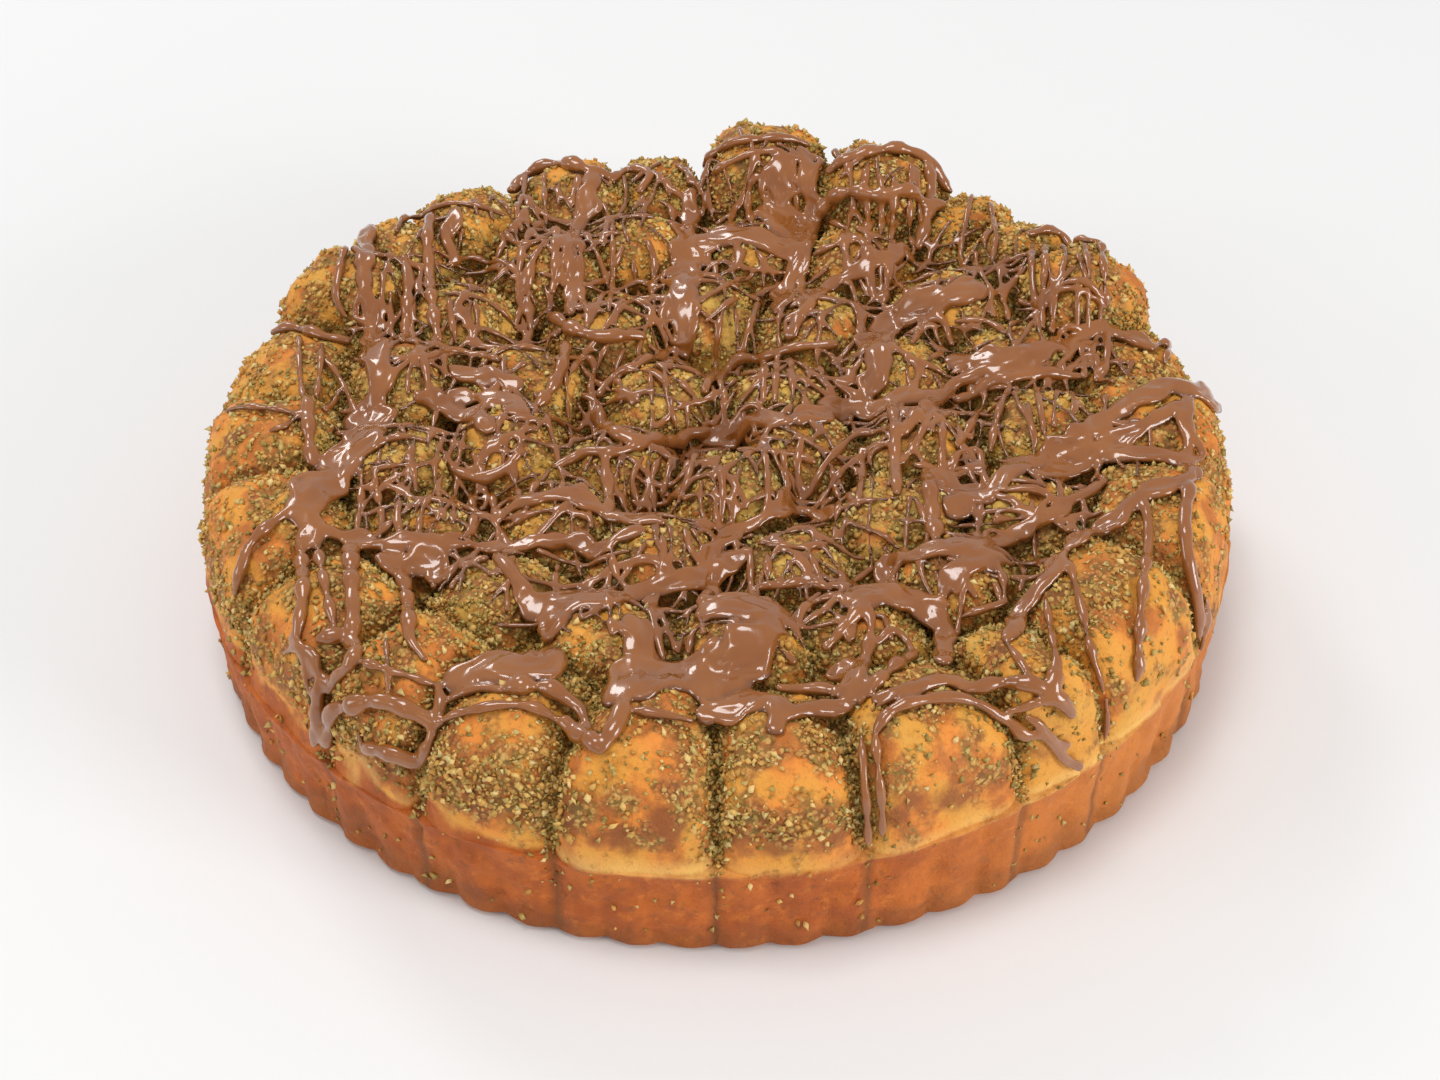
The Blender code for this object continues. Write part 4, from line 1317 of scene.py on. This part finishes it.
class Paint:
    """A material under construction, with one method that adds any node."""

    def __init__(self, name):
        self.material = bpy.data.materials.new(name)
        self.material.use_nodes = True
        self.tree = self.material.node_tree
        self.shader = self.tree.nodes["Principled BSDF"]
        self.place = self.node("ShaderNodeTexCoord", {}, {}, "Object")

    def node(self, kind, settings, inputs, output=0):
        """Adds a node: its settings first, then values or links for its
        sockets, and returns one of its outputs."""
        node = self.tree.nodes.new(kind)
        for name, setting in settings.items():
            if name == "stops":
                self.set_stops(node.color_ramp, setting)
            else:
                setattr(node, name, setting)
        for name, value in inputs.items():
            self.feed(node.inputs[name], value)
        return Value(self, node.outputs[output])

    def set_stops(self, ramp, stops):
        while len(ramp.elements) < len(stops):
            ramp.elements.new(1.0)
        for element, (place, colour) in zip(ramp.elements, stops):
            element.position = place
            element.color = (*colour, 1.0)

    def feed(self, socket, value):
        if isinstance(value, Value):
            self.tree.links.new(value.socket, socket)
        elif isinstance(value, tuple) and len(value) == 3 and socket.type == "RGBA":
            socket.default_value = (*value, 1.0)
        else:
            socket.default_value = value

    def attribute(self, name):
        return self.node("ShaderNodeAttribute", {"attribute_name": name}, {}, "Fac")

    def noise(self, size, detail=3.0, rough=0.55, turn=0.0):
        """Noise whose features are about one size across, in metres."""
        return self.node("ShaderNodeTexNoise", {}, {
            "Vector": self.moved(turn), "Scale": 1 / size, "Detail": detail,
            "Roughness": rough}, "Fac")

    def cells(self, size, turn=0.0):
        """Distance to the nearest of scattered points, in cells."""
        return self.node("ShaderNodeTexVoronoi", {}, {
            "Vector": self.moved(turn), "Scale": 1 / size}, "Distance")

    def moved(self, turn):
        if turn == 0.0:
            return self.place
        return self.node("ShaderNodeMapping", {}, {
            "Vector": self.place, "Location": (turn, turn, 0.0)})

    def mix(self, share, first, second):
        """A colour that goes from the first to the second."""
        return self.node("ShaderNodeMix", {"data_type": "RGBA"},
                         {0: share, 6: first, 7: second}, 2)

    def finish(self, colour, roughness, bump=None, depth=0.0, **fixed):
        """Feeds the shader and returns the material."""
        self.feed(self.shader.inputs["Base Color"], colour)
        self.feed(self.shader.inputs["Roughness"], roughness)
        for name, value in fixed.items():
            self.shader.inputs[name.replace("_", " ")].default_value = value
        if bump is not None:
            self.feed(self.shader.inputs["Normal"], self.node(
                "ShaderNodeBump", {}, {"Height": bump, "Distance": depth}, "Normal"))
        return self.material


def crust_paint():
    """Baked crust: gold to olive rolls with toasted patches and a dusting of ground crumbs, a
    pale band over the rim and a brick-brown wall, lighter with painted light on its right side.
    The creases take crumb colours that are in part painted shade."""
    paint = Paint("baked_crust")
    tint = paint.attribute("tint")
    crease = paint.attribute("crease")
    toast = paint.attribute("toast")
    above = paint.attribute("above")
    grit = paint.attribute("grit")
    pale = paint.attribute("pale")
    colour = paint.mix((paint.noise(22 * MM) * 0.8 + tint * 0.6).above(0.45, 0.8), GOLD, OLIVE)
    colour = paint.mix(toast * 0.9, colour, ORANGE)
    rust = paint.noise(6 * MM, detail=5.0, turn=0.3)
    colour = paint.mix((rust + toast * 0.24).above(0.58, 0.84) * 0.8, colour, RUST)
    colour = paint.mix((grit + rust * 0.6).above(0.62, 1.15) * 0.75, colour, TAN)
    scorch = paint.attribute("brown") + (rust - 0.5) * 1.2
    colour = paint.mix(scorch.above(0.18, 0.85) * 0.9, colour, TAN_DARK)
    colour = paint.mix(pale, colour, PALE)
    grain = paint.cells(1.5 * MM)
    fine = paint.noise(1.6 * MM, detail=4.0)
    dust = paint.noise(3.4 * MM, detail=5.0, turn=0.7) + grit * 0.42 - pale * 0.2
    dust = dust.above(0.54, 0.84)
    dark = paint.mix(paint.noise(7 * MM, turn=0.2).above(0.42, 0.58), BROWN, GREEN)
    speck = paint.mix(grain.above(0.40, 0.62), paint.mix(fine.above(0.4, 0.6), STRAW, RUST), dark)
    colour = paint.mix(dust * 0.85, colour, speck)
    colour = paint.mix((fine + grit * 0.1).above(0.56, 0.76) * 0.55, colour, RUST)
    # In the creases the crust turns to straw and a darker moss: the colour of crumbs gathered
    # there, and in part painted crease shade
    gap = (1 - crease.above(0.0, 0.22)) * above.above(0.0, 2.0)
    colour = paint.mix(gap * 0.7, colour, paint.mix(grain.above(0.35, 0.65), STRAW, MOSS_AND_CREASE_SHADE))
    brick = paint.mix(paint.noise(9 * MM, detail=4.0).above(0.36, 0.64), BRICK, BRICK_DARK)
    flecks = paint.noise(2.6 * MM, detail=4.0, turn=0.5)
    brick = paint.mix(flecks.above(0.54, 0.72) * 0.5, brick, BROWN)
    flecks = paint.noise(3.4 * MM, detail=4.0, turn=0.8)
    brick = paint.mix(flecks.above(0.56, 0.74) * 0.4, brick, ORANGE)
    # Painted light: the wall turns a lighter orange on its right side, where the light from the
    # right falls
    brick = paint.mix(paint.attribute("golden") * 0.5, brick, BRICK_PAINTED_LIGHT)
    low = above + paint.noise(9 * MM, turn=0.6) * 16.0
    brick = paint.mix((1 - low.above(-19.0, -9.0)) * 0.45, brick, BROWN)
    brick = paint.mix(paint.attribute("seam") * 0.8, brick, BROWN)
    edge = above + paint.noise(3 * MM, turn=1.3) * 2.0 - 1.0
    colour = paint.mix(1 - edge.above(-1.5, 1.5), colour, brick)
    height = fine * 0.6 + (1 - grain) * dust * 1.2 + paint.noise(0.8 * MM) * 0.3
    return paint.finish(colour, 0.58, height, 0.6 * MM, Specular_IOR_Level=0.35)


def chocolate_paint():
    """Milk chocolate: even brown, a little lighter in places, glossy, and darker with painted
    shade where it lies low on the crust.
    """
    paint = Paint("milk_chocolate")
    tone = paint.noise(12 * MM)
    colour = paint.mix(tone.above(0.35, 0.7), CHOCOLATE, CHOCOLATE_LIGHT)
    # Painted shade: the chocolate darkens where it lies low over the crust, on the flanks and
    # undersides of strands and pools
    edge = 1 - paint.attribute("height").above(0.15, 1.2)
    colour = paint.mix(edge * 0.8, colour, CHOCOLATE_PAINTED_SHADE)
    return paint.finish(colour, 0.22, None, 0.0, Specular_IOR_Level=0.5,
                        Coat_Weight=0.9, Coat_Roughness=0.05)


def crumb_paint(name, stops):
    """Ground nuts or herbs: each crumb has its own shade, darker near a crease as painted shade.
    """
    paint = Paint(name)
    colour = paint.node("ShaderNodeValToRGB", {"stops": stops}, {"Fac": paint.attribute("shade")})
    return paint.finish(colour, 0.7)


def floor_paint():
    """A plain matt white."""
    return Paint("floor").finish(FLOOR_WHITE, 0.6)


def lay_floor():
    """A wide flat floor under the bread."""
    corners = FLOOR_HALF * np.array([(-1, -1, 0), (1, -1, 0), (1, 1, 0), (-1, 1, 0)])
    floor = new_object("floor", corners, [(0, 1, 2, 3)], smooth=False)
    floor.data.materials.append(floor_paint())


def set_camera():
    """The photo's viewing angle, fitted to the foot and the outline."""
    camera = bpy.data.objects.new("camera", bpy.data.cameras.new("camera"))
    bpy.context.scene.collection.objects.link(camera)
    camera.location = camera_stand()[0]
    camera.rotation_euler = (math.pi / 2 - math.radians(CAMERA_ELEVATION), 0, 0)
    camera.data.lens = LENS_MM
    camera.data.sensor_width = SENSOR_MM
    camera.data.clip_start = 0.01
    bpy.context.scene.camera = camera


def soft_light(name, place, size, power):
    """A square soft box that faces the bread."""
    lamp = bpy.data.lights.new(name, "AREA")
    lamp.size = size
    lamp.energy = power
    item = bpy.data.objects.new(name, lamp)
    bpy.context.scene.collection.objects.link(item)
    item.location = place
    ahead = np.array(LIGHT_AIM) - np.array(place)
    ahead = ahead / np.linalg.norm(ahead)
    item.rotation_euler = (math.acos(-ahead[2]), 0, math.atan2(-ahead[0], ahead[1]))


def set_lights():
    """Bright, soft light from all around, strongest from the right and from
    overhead, in boxes that show as the chocolate's highlights."""
    world = bpy.data.worlds.new("studio")
    world.use_nodes = True
    inputs = world.node_tree.nodes["Background"].inputs
    inputs["Color"].default_value = (1, 1, 1, 1)
    inputs["Strength"].default_value = WORLD_STRENGTH
    bpy.context.scene.world = world
    for name, (place, size, power) in LIGHTS.items():
        soft_light(name, place, size, power)


def dress():
    """Makes every piece and gives it its body and material."""
    table = roll_table()
    bread = crust(table)
    lay = Lay(table)
    chocolates = thick_drizzle(lay), thin_drizzle(lay)
    thick = poured("chocolate_drizzle", chocolates[0])
    thin = poured("chocolate_threads", chocolates[1])
    ground = Ground(bread, table)
    grains = herb_grains(ground, chocolates)
    nuts = nut_bits(ground, chocolates)
    milk = chocolate_paint()
    for piece, slot, paint in ((bread, "crust", crust_paint()),
                               (thick, "chocolate", milk), (thin, "chocolate", milk),
                               (grains, "crumbs", crumb_paint("herb_grains", GRAIN_STOPS)),
                               (nuts, "crumbs", crumb_paint("nut_bits", NUT_STOPS))):
        piece.data.materials.clear()
        piece.data.materials.append(paint)
        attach(piece, "root")
    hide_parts("bread")


dress()
lay_floor()
set_camera()
set_lights()
bpy.context.scene.view_settings.view_transform = "Standard"
